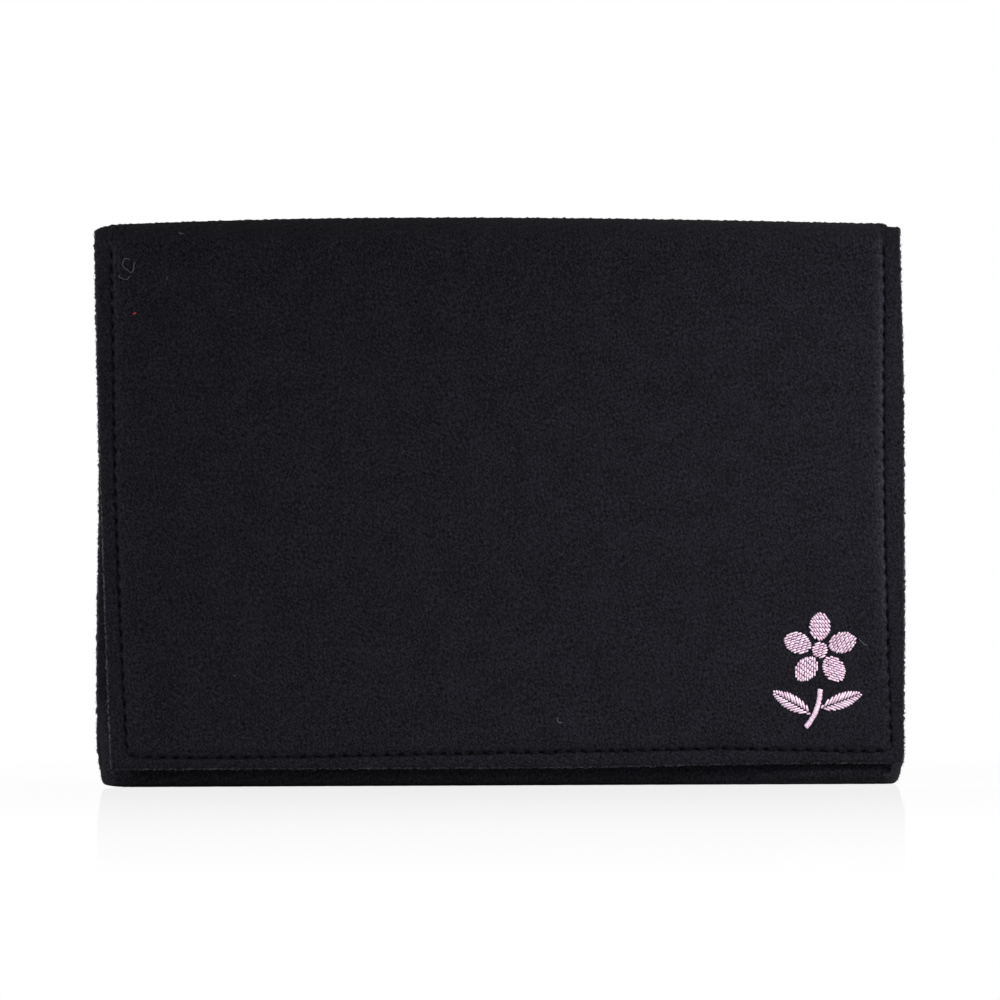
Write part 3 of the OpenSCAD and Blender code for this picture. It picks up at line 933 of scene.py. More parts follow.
def floor_nodes(wiring, stage):
    """A pale floor that looks white and keeps the shadow and a faint reflection."""
    matt = wiring.add("ShaderNodeBsdfDiffuse", {"Color": tinted(stage.floor_colour)})
    glow = wiring.add("ShaderNodeEmission", {"Color": WHITE, "Strength": 1.0})
    gloss = wiring.add("ShaderNodeBsdfGlossy", {"Color": WHITE, "Roughness": 0.03})
    far = wiring.add("ShaderNodeVectorMath", {0: wiring.coordinates()}, operation="LENGTH").outputs["Value"]
    matt_share = wiring.maths("MULTIPLY", wiring.ramp(far, stage.shadow_reach, 0.0), stage.shadow_share)
    shine = wiring.maths("POWER", wiring.ramp(far, stage.shine_reach, 0.0), 1.5)
    shine_share = wiring.maths("MULTIPLY", shine, stage.shine_share)
    polished = wiring.mix_shaders(shine_share, wiring.mix_shaders(matt_share, glow, matt), gloss)
    return wiring.mix_shaders(wiring.seen(), matt, polished)


# Shape of the felt

def camber(x, run):
    """Rise of the spine at x, a run away from its middle line."""
    share = np.cos(0.5 * np.pi * np.clip(run / CREASE_RUN, 0.0, 1.0)) ** 2
    u = x / SIDE
    return (CAMBER + CROWN_EXTRA) * (1.0 - CROWN_FALL * u ** 2) * (1.0 - CROWN_LEAN * u) * share


def hem_height(x):
    """Height of the flap's hem at x."""
    return HEM + HEM_RISE * smooth((x - HEM_RISE_FROM) / HEM_RISE_RUN)


def flap_edges(z):
    """x of the flap's left and right cut edges at a height."""
    fall = np.clip((TOP - z) / (TOP - HEM), 0.0, 1.0)
    corner = FLAP_CORNER_DRAW * np.clip(1.0 - (z - HEM) / FLAP_CORNER, 0.0, 1.0) ** 2
    left = -SIDE + LEFT_SKEW * fall ** LEFT_SKEW_CURVE + corner
    back_in = RIGHT_RETURN * smooth(1.0 - (1.0 - fall) / RIGHT_RETURN_SHARE)
    right = SIDE - RIGHT_TRIM + RIGHT_SKEW * smooth(fall / RIGHT_SKEW_SHARE) - back_in - corner
    return left, right


def side_border(z, row):
    """Distance of a side row of stitches from the flap's edge at a height."""
    return MM * table((z - HEM) / (TOP - HEM), row)


def hem_border(x):
    """Distance of the lower row of stitches from the hem."""
    return MM * table(x / MM, HEM_ROW)


def body_edges(z):
    """x of the body's left and right cut edges at a height, drawn in towards the table."""
    left_draw = LEFT_CORNER_DRAW * np.clip(1.0 - z / LEFT_CORNER_H, 0.0, 1.0) ** CORNER_CURVE
    right_draw = RIGHT_CORNER_DRAW * np.clip(1.0 - z / RIGHT_CORNER_H, 0.0, 1.0) ** CORNER_CURVE
    gain = BODY_RIGHT_GAIN * smooth((TOP - z) / BODY_GAIN_RUN)
    waist = WAIST * np.exp(-(((z - WAIST_Z) / WAIST_RUN) ** 2))
    spread_foot = FOOT_SPREAD * smooth((FOOT_SPREAD_Z - z) / FOOT_SPREAD_RUN)
    return -SIDE + waist - spread_foot + left_draw, SIDE - RIGHT_TRIM + gain - right_draw


def grip(run):
    """How firmly the stitches pull the felt in, from 0 on the crown of the spine to 1 past its bend."""
    return smooth((run - SPINE_HALF) / (BEND_END - SPINE_HALF))


def by_grip(hold, crown, flat=1.0):
    """A value that goes from the crown's to the flat felt's as the stitches take hold."""
    return crown + (flat - crown) * hold


def sewn(across, along_row, run, left_side, felt, pitch, roll_highlight):
    """Height of the felt beside a row of stitches, and its painted light: painted shade and painted
    highlight.

    The row lies at 0 across, with the puffed side above 0. On the crown of the spine it leaves no groove,
    and the left border slopes to its edge. The painted light is painted shade in the groove and a little on
    the crown, and a painted highlight on the roll beside the row, below 0.
    """
    beat = 0.5 + 0.5 * np.cos(2 * np.pi * along_row / pitch)
    wander = across + felt.pucker * (2 * beat - 1)
    row = np.exp(-((wander / felt.groove_width) ** 2)) * (1.0 - GROOVE_BEAT * beat)
    hold = grip(run)
    roll = felt.roll * by_grip(hold, CROWN_ROLL)
    inside = across + CROWN_STEP * (1.0 - hold) + felt.scallop * hold * (2 * beat - 1)
    level = 1.0 - np.clip(inside / roll, 0.0, 1.0)
    step = 1.0 - np.sqrt(1.0 - level ** 2)
    slope = LEFT_SLOPE * np.clip(-across / BORDER_LEFT, 0.0, 1.0)
    crown = np.where(left_side, slope, step)
    drop = by_grip(hold, crown, step)
    loose_fibres_and_highlight = roll_highlight * np.where(across > 0, np.exp(-np.maximum(across, 0.0) / ROLL_HIGHLIGHT_RUN), 0.0)
    height = -felt.border_drop * by_grip(hold, CROWN_DROP) * drop - felt.groove_depth * hold * row
    return height, hold * (row - loose_fibres_and_highlight) + CROWN_PAINTED_SHADE * (1.0 - hold)


def soft_edge(distance, depth=SOFT_EDGE, run=SOFT_EDGE_RUN):
    """Rounding of the felt's face towards a cut edge."""
    return -depth * np.exp(-np.maximum(distance, 0.0) / run)


def flap_wave(x, run, felt):
    """Slow waves of the flap and its bulge inside the right border, none where the flap starts to hang."""
    hang = run - BEND_END
    bulge = smooth((SIDE - BORDER_RIGHT - x) / BULGE_RIGHT) * smooth((SIDE - BORDER_LEFT + x) / BULGE_LEFT)
    bulge = BULGE * bulge * smooth((BEND_Z - hang - BULGE_FOOT) / BULGE_RISE)
    return (felt.wave * slow_waves(x, run) + bulge) * smooth(hang / BULGE_RISE)


def flap_relief(x, z, run, felt, pitch):
    """Height of the flap's face over its plain thickness, and its painted shade and painted highlight."""
    left, right = flap_edges(z)
    from_left = x - left
    from_right = right - x
    from_hem = np.where(run > CREASE_RUN, z - hem_height(x), TOP)
    inner = from_left - side_border(z, LEFT_ROW)
    sides = np.minimum(inner, from_right - side_border(z, RIGHT_ROW))
    above_row = from_hem - hem_border(x)
    across = soft_min(sides, above_row, BORDER_CORNER)
    on_hem = above_row < sides
    phase = np.where(on_hem, inner, run)
    # Painted highlight on the roll beside the side rows: a little on the left, more up the right, none on the
    # hem
    beside = np.where(x < 0, ROLL_HIGHLIGHT_LEFT, smooth((z - ROLL_HIGHLIGHT_FOOT) / ROLL_HIGHLIGHT_RISE))
    edge = np.minimum(np.minimum(from_left, from_right), from_hem)
    height, pressed = sewn(across, phase, run, x < 0, felt, pitch, np.where(on_hem, 0.0, beside))
    hold = grip(run)
    puff = felt.puff * by_grip(hold, CROWN_PUFF)
    return puff + height + soft_edge(edge) * by_grip(hold, CROWN_EDGE), pressed


def flap_run(z):
    """Distance down the felt from the middle of the spine to a height on the hanging flap."""
    return BEND_END + BEND_Z - z


def flap_middle_y(x, z, felt):
    """y of the hanging flap's mid felt."""
    return FLAP_MID - flap_wave(x, flap_run(z), felt)


def flap_face_y(x, z, felt, pitch):
    """y of the hanging flap's outer face."""
    return flap_middle_y(x, z, felt) - FELT / 2 - flap_relief(x, z, flap_run(z), felt, pitch)[0]


def flap_profile(radius, foot_drop):
    """Stations from mid spine to hem, on one bend radius: y, height, share of the drop, and run."""
    y_bend = FLAP_MID + BEND_R
    across = np.linspace(SPINE_Y, y_bend, FLAT_POINTS)[:-1]
    turn = np.radians(np.linspace(90.0, 180.0, BEND_POINTS))
    fine = np.linspace(0.0, 1.0, round(EDGE_BAND / FINE_STEP) + 1) * EDGE_BAND
    coarse = np.linspace(EDGE_BAND, foot_drop, round((foot_drop - EDGE_BAND) / ROW_STEP) + 1)[1:]
    share = 1.0 - np.concatenate([fine, coarse])[::-1] / foot_drop
    hang = share[1:]
    y = np.concatenate([across, y_bend + radius * np.cos(turn), np.full(len(hang), y_bend - radius)])
    z = np.concatenate([np.full(len(across), BEND_Z + radius), BEND_Z + radius * np.sin(turn),
                        np.full(len(hang), BEND_Z)])
    fall = np.concatenate([np.zeros(len(across) + len(turn)), hang])
    run = np.concatenate([SPINE_Y - across, SPINE_HALF + BEND_R * (turn - np.pi / 2),
                          BEND_END + hang * foot_drop])
    return y, z, fall, run


def flap_grid(felt):
    """Mid-felt grid of the front half of the spine and the flap, with the run of each row."""
    y, z, fall, run = flap_profile(BEND_R, BEND_Z - HEM)
    columns = graded(2 * SIDE - RIGHT_TRIM, EDGE_BAND, FINE_STEP, FLAP_STEP)
    level = z - fall * (BEND_Z - HEM)
    left, right = flap_edges(np.where(run > CREASE_RUN, level, TOP))
    x = spread(columns, left, right)
    height = z + fall * (hem_height(x) - BEND_Z) + camber(x, run)
    depth = y - np.where(fall > 0, flap_wave(x, run, felt), 0.0)
    return np.stack([x, depth, height], axis=-1), run


def flap_skins(felt, pitch):
    """Skins of half of the spine and the flap."""
    middle, run = flap_grid(felt)
    way = normals(middle)
    x = middle[:, :, 0]
    height = np.where(run > CREASE_RUN, middle[:, :, 2], TOP)
    relief, pressed = flap_relief(x, height, run, felt, pitch)
    relief = relief + felt.lump * lumps(x, run) * by_grip(grip(run), *FLAP_LUMPS)
    outer = middle + way * (FELT / 2 + relief)[:, :, None]
    return Skins(outer, middle - way * FELT / 2, middle, way, run, pressed, 0, slice(0, BEND_ROWS + 1))


def pocket_depth(x, z):
    """Inside depth of the pocket: the lining alone at the seam, most of all at the base's right."""
    above = smooth((SIDE - SEAM - np.abs(x)) / SWELL)
    short = 1.0 - np.clip((SIDE - BASE_SEAM - np.abs(x)) / BASE_SWELL, 0.0, 1.0)
    at_base = np.sqrt(1.0 - short ** 2)
    share = above + (at_base - above) * smooth(1.0 - z / BASE_RUN)
    bulge = BASE_BULGE * at_base * smooth((x - BASE_BULGE_FROM) / BASE_BULGE_SPAN)
    return LINING + (INSIDE - LINING) * share + bulge * smooth(1.0 - z / BASE_BULGE_RUN)


def body_grid():
    """Mid-felt grid from the pocket's mouth round the base and up the back to the middle of the spine.

    Returns the grid, the run of each row from the middle of the spine, and the first rows of the back
    and of the bend.
    """
    nominal = graded(2 * SIDE, EDGE_BAND, FINE_STEP, BODY_STEP)
    x = (nominal - SIDE)[:, None]
    depth = pocket_depth(x, 0.0)
    front = BACK_IN - depth - FELT / 2
    most = (depth + FELT - BASE_FLAT) / 2
    front_r = np.minimum(FRONT_FOLD + FELT / 2, most)
    back_r = np.minimum(BACK_FOLD + FELT / 2, most)
    front_foot = FELT / 2 + front_r
    back_foot = FELT / 2 + back_r
    y_bend = BACK_MID - BEND_R
    mouth = MOUTH - MOUTH_DIP * np.cos(np.pi * x / SIDE / 2) + MOUTH_WAVE * np.sin(x / MOUTH_WAVE_RUN)
    climb = graded(1.0, *POCKET_ROWS)
    corner = np.radians(np.linspace(0.0, 90.0, FOLD_POINTS))[1:]
    flat = np.linspace(0.0, 1.0, FLAT_POINTS)[1:]
    rise = graded(1.0, *BACK_ROWS)[1:]
    turn = np.radians(np.linspace(0.0, 90.0, BEND_POINTS))[1:]
    across = np.linspace(y_bend, SPINE_Y, FLAT_POINTS)[1:]
    front_z = mouth + (front_foot - mouth) * climb
    # y and z of the front, its fold, the base, the back's fold, the back, the bend and half of the spine
    stretches = (
        (BACK_IN - pocket_depth(x, front_z - front_foot) - FELT / 2, front_z),
        (front + front_r * (1 - np.cos(corner)), front_foot - front_r * np.sin(corner)),
        (front + front_r + (BACK_MID - back_r - front - front_r) * flat, FELT / 2),
        (BACK_MID - back_r + back_r * np.sin(corner), back_foot - back_r * np.cos(corner)),
        (BACK_MID, back_foot + (BEND_Z - back_foot) * rise),
        (y_bend + BEND_R * np.cos(turn), BEND_Z + BEND_R * np.sin(turn)),
        (across, SPINE_Z),
    )
    grids = [np.broadcast_arrays(y, z, x)[:2] for y, z in stretches]
    y, z = (np.concatenate(parts, axis=1) for parts in zip(*grids))
    back = len(climb) + 2 * len(corner) + len(flat)
    bend = back + len(rise)
    middle_column = len(nominal) // 2
    run = along(np.stack([y[middle_column], z[middle_column]], axis=1))
    run = run[-1] - run
    on_top = np.arange(len(run)) >= bend
    left, right = body_edges(np.where(on_top, TOP, z))
    wide = left + (right - left) * (nominal / (2 * SIDE))[:, None]
    lift = BASE_LIFT * np.clip(1.0 - (x + SIDE) / LIFT_RUN, 0.0, 1.0) ** 2
    z = z + lift * np.clip(1.0 - z / LEFT_CORNER_H, 0.0, 1.0)
    z = z + np.where(on_top, camber(wide, run), 0.0)
    return np.stack([wide, y, z], axis=-1), run, back, bend


def body_skins(felt, pitch):
    """Skins of the pocket, the base, the back and half of the spine."""
    middle, run, back, bend = body_grid()
    way = normals(middle)
    x, z = middle[:, :, 0], middle[:, :, 2]
    row = np.arange(len(run))
    left, right = body_edges(np.where(row >= bend, TOP, z))
    across = np.minimum(x - left - BORDER_LEFT, right - x - BORDER_RIGHT)
    hold = grip(run)
    start = smooth((z - SEAM_FOOT) / SEAM_FADE) * (1.0 - SEAM_EASE * hold)
    # Painted shade in the seam grooves and on the crown, and a painted highlight on the roll beside the seams
    sewing, pressed = (part * start for part in sewn(across, run, run, x < 0, felt, pitch, SEAM_ROLL_HIGHLIGHT))
    edge = np.minimum(x - left, right - x)
    from_mouth = np.where(row < back / 2, MOUTH - z, TOP)
    rounding = soft_edge(np.minimum(edge, from_mouth)) * by_grip(hold, CROWN_EDGE)
    rounding = rounding + soft_edge(edge, BODY_EDGE, BODY_EDGE_RUN) * hold * start
    relief = felt.puff * by_grip(hold, CROWN_PUFF, 0.0) + sewing + rounding
    relief = relief + felt.lump * lumps(x, run) * by_grip(hold, *BODY_LUMPS)
    outer = middle + way * (FELT / 2 + relief)[:, :, None]
    return Skins(outer, middle - way * FELT / 2, middle, way, run, pressed, back, slice(bend, None))


def flat_place(skins):
    """Where each point of a sheet lies on its flat felt: across from the middle column, and down the run."""
    steps = np.linalg.norm(np.diff(skins.inner, axis=0), axis=2)
    across = np.concatenate([np.zeros((1, len(skins.run))), np.cumsum(steps, axis=0)])
    middle = len(across) // 2
    across = across - across[middle] + skins.inner[middle, :, 0]
    return np.stack([across, 0.0 * across, 0.0 * across - skins.run], axis=-1).reshape(-1, 3)


def follow(x, skins):
    """Mid felt, face and normals where each row of a sheet crosses its own x."""
    rows = range(len(skins.run))

    def crossing(values):
        columns = skins.middle[:, :, 0]
        return np.array([[np.interp(x[j], columns[:, j], values[:, j, c]) for c in range(3)] for j in rows])

    return [crossing(values) for values in (skins.middle, skins.outer, skins.way)]


def lining_sheet(name, middle, way, thick, bulge, felt):
    """A sheet of lining felt about its mid grid."""
    points, faces, rim = closed_sheet(middle + way * thick / 2, middle - way * thick / 2, bulge)[:3]
    return new_piece(name, points, faces, lining_felt(felt), {"rim": rim, "felt_place": points})


# Sewing and fibres

def stitches(tubes, line, way, pitch, thread, level, rise, seed):
    """Adds a row of stitches to tubes: along a line of points, standing out along way from a level."""
    run = along(line)
    count = int(run[-1] / pitch)
    rng = np.random.default_rng(seed)
    share = np.linspace(0.0, 1.0, 11)
    start = pitch * np.arange(count)[:, None]
    slack = rng.uniform(*STITCH_SLACK, (count, 1)) * pitch
    place = start + slack / 2 + (pitch - slack) * share
    point = np.stack([np.interp(place, run, line[:, c]) for c in range(3)], axis=-1)
    out = unit(np.stack([np.interp(place, run, way[:, c]) for c in range(3)], axis=-1))
    arch = 1.0 - np.abs(2.0 * share - 1.0) ** 3
    crest = rise * rng.uniform(*STITCH_CREST, (count, 1))
    depth = STITCH_END * thread
    height = level - depth + (crest + depth) * arch
    path = point + out * height[:, :, None]
    sideways = np.cross(path[:, -1] - path[:, 0], out[:, len(share) // 2])
    stray = rng.uniform(-STITCH_STRAY, STITCH_STRAY, (count, 1)) * MM * arch
    path = path + unit(sideways)[:, None] * stray[:, :, None]
    tubes.add(path, sideways, thread / 2, sides=8, shade=rng.uniform(*STITCH_SHADE, count))


def sew_row(tubes, line, way, thread, seed):
    """Adds a row of sewing thread, pulled into felt."""
    stitches(tubes, line, way, thread.stitch, thread.sewing_d, SUNK, RAISED, seed)


def fuzz(centre, out, spread_out, lengths, count, seed):
    """Loose curved fibres that stand off points along an outward way."""
    rng = np.random.default_rng(seed)
    pick = rng.integers(0, len(centre), count)
    stand = out[pick]
    aside = rng.normal(0, 1, (count, 3)) * spread_out
    root = centre[pick] + aside - stand * (np.abs(np.sum(aside * stand, axis=1, keepdims=True)) + FUZZ_ROOT)
    tip = unit(stand + FUZZ_WILD * rng.normal(0, 1, (count, 3)))
    tip = tip * rng.uniform(*FUZZ_SPAN, (count, 1)) * lengths
    bend = rng.normal(0, 1, (count, 3)) * FUZZ_CURL * lengths
    share = np.linspace(0.0, 1.0, FUZZ_POINTS)
    part = share[None, :, None]
    path = root[:, None] + tip[:, None] * part + bend[:, None] * part * (1.0 - part) * 2
    sideways = np.cross(tip, rng.normal(0, 1, (count, 3)))
    return path, sideways, FUZZ_R * (1.15 - 0.7 * share)[None, :]


def nap(face, way, length, count, seed):
    """Fine curved fibres that lie on a face, most of them leaning one way."""
    rng = np.random.default_rng(seed)
    pick = rng.integers(0, len(face), count)
    stand = way[pick]
    lean = np.where(rng.random(count) < NAP_SHARE, *NAP_LEANS) + rng.normal(0, NAP_STRAY, count)
    flat = np.stack([np.sin(lean), np.zeros(count), np.cos(lean)], axis=1)
    ahead = unit(flat - stand * np.sum(flat * stand, axis=1, keepdims=True))
    sideways = np.cross(stand, ahead)
    share = np.linspace(-0.5, 0.5, NAP_POINTS)[None, :, None]
    run = rng.uniform(*NAP_SPAN, (count, 1, 1)) * length
    curl = rng.normal(0, NAP_CURL, (count, 1, 1)) * length
    root = face[pick] + rng.normal(0, NAP_ASIDE, (count, 1)) * MM * sideways
    path = root[:, None] + ahead[:, None] * run * share + sideways[:, None] * curl * (share ** 2)
    path = path + stand[:, None] * NAP_RISE * (1.0 - 6.0 * share ** 2)
    return path, sideways, NAP_R


# Operators, one for each piece or group of like pieces

class NEEDLECASE_OT_cover(bpy.types.Operator):
    """Makes the black cover: pocket, base and back in one piece, flap in the other, meeting on the spine"""

    bl_idname = "needle_case.cover"
    bl_label = "Cover felt"

    def execute(self, context):
        felt = context.scene.needle_case_felt
        pitch = context.scene.needle_case_thread.stitch
        # Name, skins, row where the sheets meet, seeds, share of the fuzz on cut edges, lining, crease, nodes
        sheets = (
            ("pocket_and_back", body_skins, -1, 11, 21, 0.7, "back_lining", "spine_fold",
             ("cover_body", "cover_spine")),
            ("flap", flap_skins, 0, 12, 31, 0.6, "flap_lining", "flap_fold", ("cover_flap",)),
        )
        for name, shape, meeting, seed, fibre_seed, on_edges, lining, crease, nodes in sheets:
            skins = shape(felt, pitch)
            piece, centre, out = self.sheet(f"felt_{name}", skins, felt, meeting, seed)
            fold = [a[:, skins.fold].reshape(-1, 3) for a in (skins.outer, skins.way)]
            places = ((centre, out, FUZZ_ON_EDGES, on_edges), (*fold, FUZZ_ON_FOLDS, 1.0 - on_edges))
            loose_fibres_and_highlight = self.fibres(f"felt_fuzz_{name}", places, skins, felt, fibre_seed)
            max(skins.run)
            carry(piece, "black_felt", crease, *nodes)
            carry(loose_fibres_and_highlight, "black_felt", crease)
        return {"FINISHED"}

    def sheet(self, name, skins, felt, meeting, seed):
        """Makes one sheet of the cover, and gives its cut border's line and way out for the fuzz."""
        size = skins.pressed.shape
        tufts = np.random.default_rng(seed).normal(size=size)
        bulge = ragged_rim(size, COVER_RIM, SOFT_EDGE, RIM_WAVE * felt.ragged, seed)
        bulge = bulge + RIM_TUFT * felt.ragged * tufts
        bulge[:, meeting] = 0.0
        points, faces, rim, centre, out = closed_sheet(skins.outer, skins.inner, bulge)
        near = np.abs(centre - np.array([0.0, SPINE_Y, SPINE_Z + CAMBER]))
        cut = (near[:, 1] > MEETING_ROOM[0]) | (near[:, 2] > MEETING_ROOM[1])
        pressed = np.zeros(len(points))
        pressed[:skins.pressed.size] = skins.pressed.ravel()
        flat = flat_place(skins)
        border = flat[round_the_rim(*size)]
        place = np.concatenate([flat, flat, border, border, border])
        values = {"rim": rim, "pressed": pressed, "felt_place": place}
        return new_piece(name, points, faces, cover_felt(felt), values), centre[cut], out[cut]

    def fibres(self, name, places, skins, felt, seed):
        """Makes the loose fibres of one sheet of the cover."""
        tubes = Tubes()
        for number, (centre, out, spread_out, share) in enumerate(places):
            count = int(felt.fuzz_count * share)
            path, sideways, radius = fuzz(centre, out, spread_out, felt.fuzz, count, seed + number)
            tubes.add(path, sideways, radius, sides=3, shade=np.zeros(count))
        face, way = (a[:, skins.outside:].reshape(-1, 3) for a in (skins.outer, skins.way))
        path, sideways, radius = nap(face, way, felt.nap, felt.nap_count, seed + len(places))
        pale = np.random.default_rng(seed).uniform(0.0, 1.0, len(path)) ** 1.5
        tubes.add(path, sideways, radius, sides=3, shade=pale)
        return tubes.piece(name, loose_fibre(felt))


class NEEDLECASE_OT_lining(bpy.types.Operator):
    """Makes the thin lining felt of the back, the spine and the flap"""

    bl_idname = "needle_case.lining"
    bl_label = "Lining felt"

    radius = BEND_R - FELT / 2 - LINING / 2
    width = 2 * SIDE - 2 * LINING_TRIM

    def execute(self, context):
        felt = context.scene.needle_case_felt
        self.back(felt)
        self.flap(felt)
        return {"FINISHED"}

    def dress(self, name, middle, felt, meeting, seed):
        """Makes one sheet of the lining about its mid grid."""
        bulge = ragged_rim(middle.shape, LINING_RIM, THIN_ROUND * LINING, THIN_RAGGED * felt.ragged, seed)
        bulge[:, meeting] = 0.0
        return lining_sheet(name, middle, normals(middle), LINING, bulge, felt)

    def columns(self, width, step, edges):
        """x of the lining's columns between the cover's cut edges, trimmed back from them."""
        left, right = edges
        places = graded(width, EDGE_BAND, LINING_FINE_STEP, step)
        return spread(places, left + LINING_TRIM, right - LINING_TRIM)

    def back(self, felt):
        """The lining of the back and half of the spine."""
        radius = self.radius
        y_bend = BACK_MID - BEND_R
        rise = np.linspace(low("back_lining").z, BEND_Z, LINING_ROWS)
        turn = np.radians(np.linspace(0.0, 90.0, LINING_BEND_POINTS))[1:]
        across = np.linspace(y_bend, SPINE_Y, LINING_FLAT_POINTS)[1:]
        y = np.concatenate([np.full(len(rise), y_bend + radius), y_bend + radius * np.cos(turn), across])
        z = np.concatenate([rise, BEND_Z + radius * np.sin(turn), np.full(len(across), BEND_Z + radius)])
        run = along(np.stack([y, z], axis=1))
        run = run[-1] - run
        x = self.columns(self.width, LINING_BACK_STEP, body_edges(z))
        height = z + camber(x, run * CREASE_RUN / (CREASE_RUN - LINING_SLACK))
        middle = np.stack([x, np.broadcast_to(y, x.shape), height], axis=-1)
        piece = self.dress("lining_back", middle, felt, -1, 13)
        carry(piece, "lining_felt", "spine_fold", "back_lining", "spine_lining")

    def flap(self, felt):
        """Half of the spine's lining and the lining of the flap."""
        drop = BEND_Z - low("flap_lining").z
        stations = np.array(flap_profile(self.radius, drop))
        last = stations.shape[1] - 1
        kept = [*range(BEND_ROWS), *range(BEND_ROWS, last, LINING_SKIP), last]
        y, z, fall, run = stations[:, kept]
        edges = flap_edges(np.where(fall > 0, z - fall * drop, TOP))
        x = self.columns(self.width - RIGHT_TRIM, LINING_FLAP_STEP, edges)
        height = z + fall * (hem_height(x) + LINING_TRIM - BEND_Z) + camber(x, run)
        depth = y - np.where(fall > 0, flap_wave(x, run, felt), 0.0)
        piece = self.dress("lining_flap", np.stack([x, depth, height], axis=-1), felt, 0, 14)
        carry(piece, "lining_felt", "flap_fold", "flap_lining")


class NEEDLECASE_OT_slot_panel(bpy.types.Operator):
    """Makes the panel of needle slots and the rows of stitching between them"""

    bl_idname = "needle_case.slot_panel"
    bl_label = "Needle slots"

    def execute(self, context):
        self.panel(context.scene.needle_case_felt)
        self.rows(context.scene.needle_case_thread)
        return {"FINISHED"}

    def stand_off(self, x):
        """Share of a slot's full rise at x: 0 on a sewn land, 1 on a crest."""
        half = (SLOT_PITCH - SLOT_LAND) / 2
        nearest = np.min(np.abs(x[:, None] - np.array(SLOT_X)[None, :]), axis=1)
        radius = (half ** 2 + SLOT_RISE ** 2) / (2 * SLOT_RISE)
        round_part = np.sqrt(np.maximum(radius ** 2 - nearest ** 2, 0.0)) - (radius - SLOT_RISE)
        arch = np.clip(round_part / SLOT_RISE, 0.0, 1.0)
        return np.where(nearest < half, arch, 0.0)

    def panel(self, felt):
        """The scalloped sheet, pinched shut at its foot and open at the top."""
        steps = round(SLOT_PITCH / SLOT_STEP)
        first, last = SLOT_X[0] - SLOT_PITCH / 2, SLOT_X[-1] + SLOT_PITCH / 2
        margin = np.linspace(0.0, 1.0, 8)
        left = -PANEL_HALF + (first + PANEL_HALF) * margin[:-1]
        right = last + (PANEL_HALF - last) * margin[1:]
        x = np.concatenate([left, np.linspace(first, last, len(SLOT_X) * steps + 1), right])
        climb = graded(1.0, *PANEL_ROWS)
        stand = self.stand_off(x)[:, None]
        sag = PANEL_WAVE * ripple(x, 41, PANEL_WAVE_RUNS)[:, None] - PANEL_SAG * stand
        z = PANEL_FOOT + (PANEL_TOP + sag - PANEL_FOOT) * climb
        pinch = SLOT_PINCH + (1.0 - SLOT_PINCH) * smooth((z - PANEL_FOOT) / SLOT_PINCH_RISE)
        y = LINING_IN - PANEL / 2 - PANEL_CLEAR - SLOT_RISE * stand * pinch
        middle = np.stack([np.broadcast_to(x[:, None], z.shape), y, z], axis=-1)
        way = -normals(middle)
        bulge = ragged_rim(z.shape, PANEL_RIM, THIN_ROUND * PANEL, THIN_RAGGED * felt.ragged, 42)
        piece = lining_sheet("slot_panel_felt", middle[:, ::-1], way[:, ::-1], PANEL, bulge, felt)
        width = along(np.stack([x, y[:, -1]], axis=1))[-1]
        carry(piece, "lining_felt", "case", "slot_panel")

    def rows(self, thread):
        """Rows of stitches down the lands."""
        tubes = Tubes()
        z = np.linspace(PANEL_TOP - PANEL_ROW_TOP, PANEL_FOOT + PANEL_ROW_FOOT, 60)
        for number in range(len(SLOT_X) + 1):
            x = SLOT_X[0] - SLOT_PITCH / 2 + number * SLOT_PITCH
            line = np.stack([np.full(len(z), x), np.full(len(z), LINING_IN - PANEL), z], axis=1)
            sew_row(tubes, line, towards(-1.0, len(z)), thread, 50 + number)
        carry(tubes.piece("slot_rows", sewing_thread(thread)), "black_thread", "case", "slot_stitching")


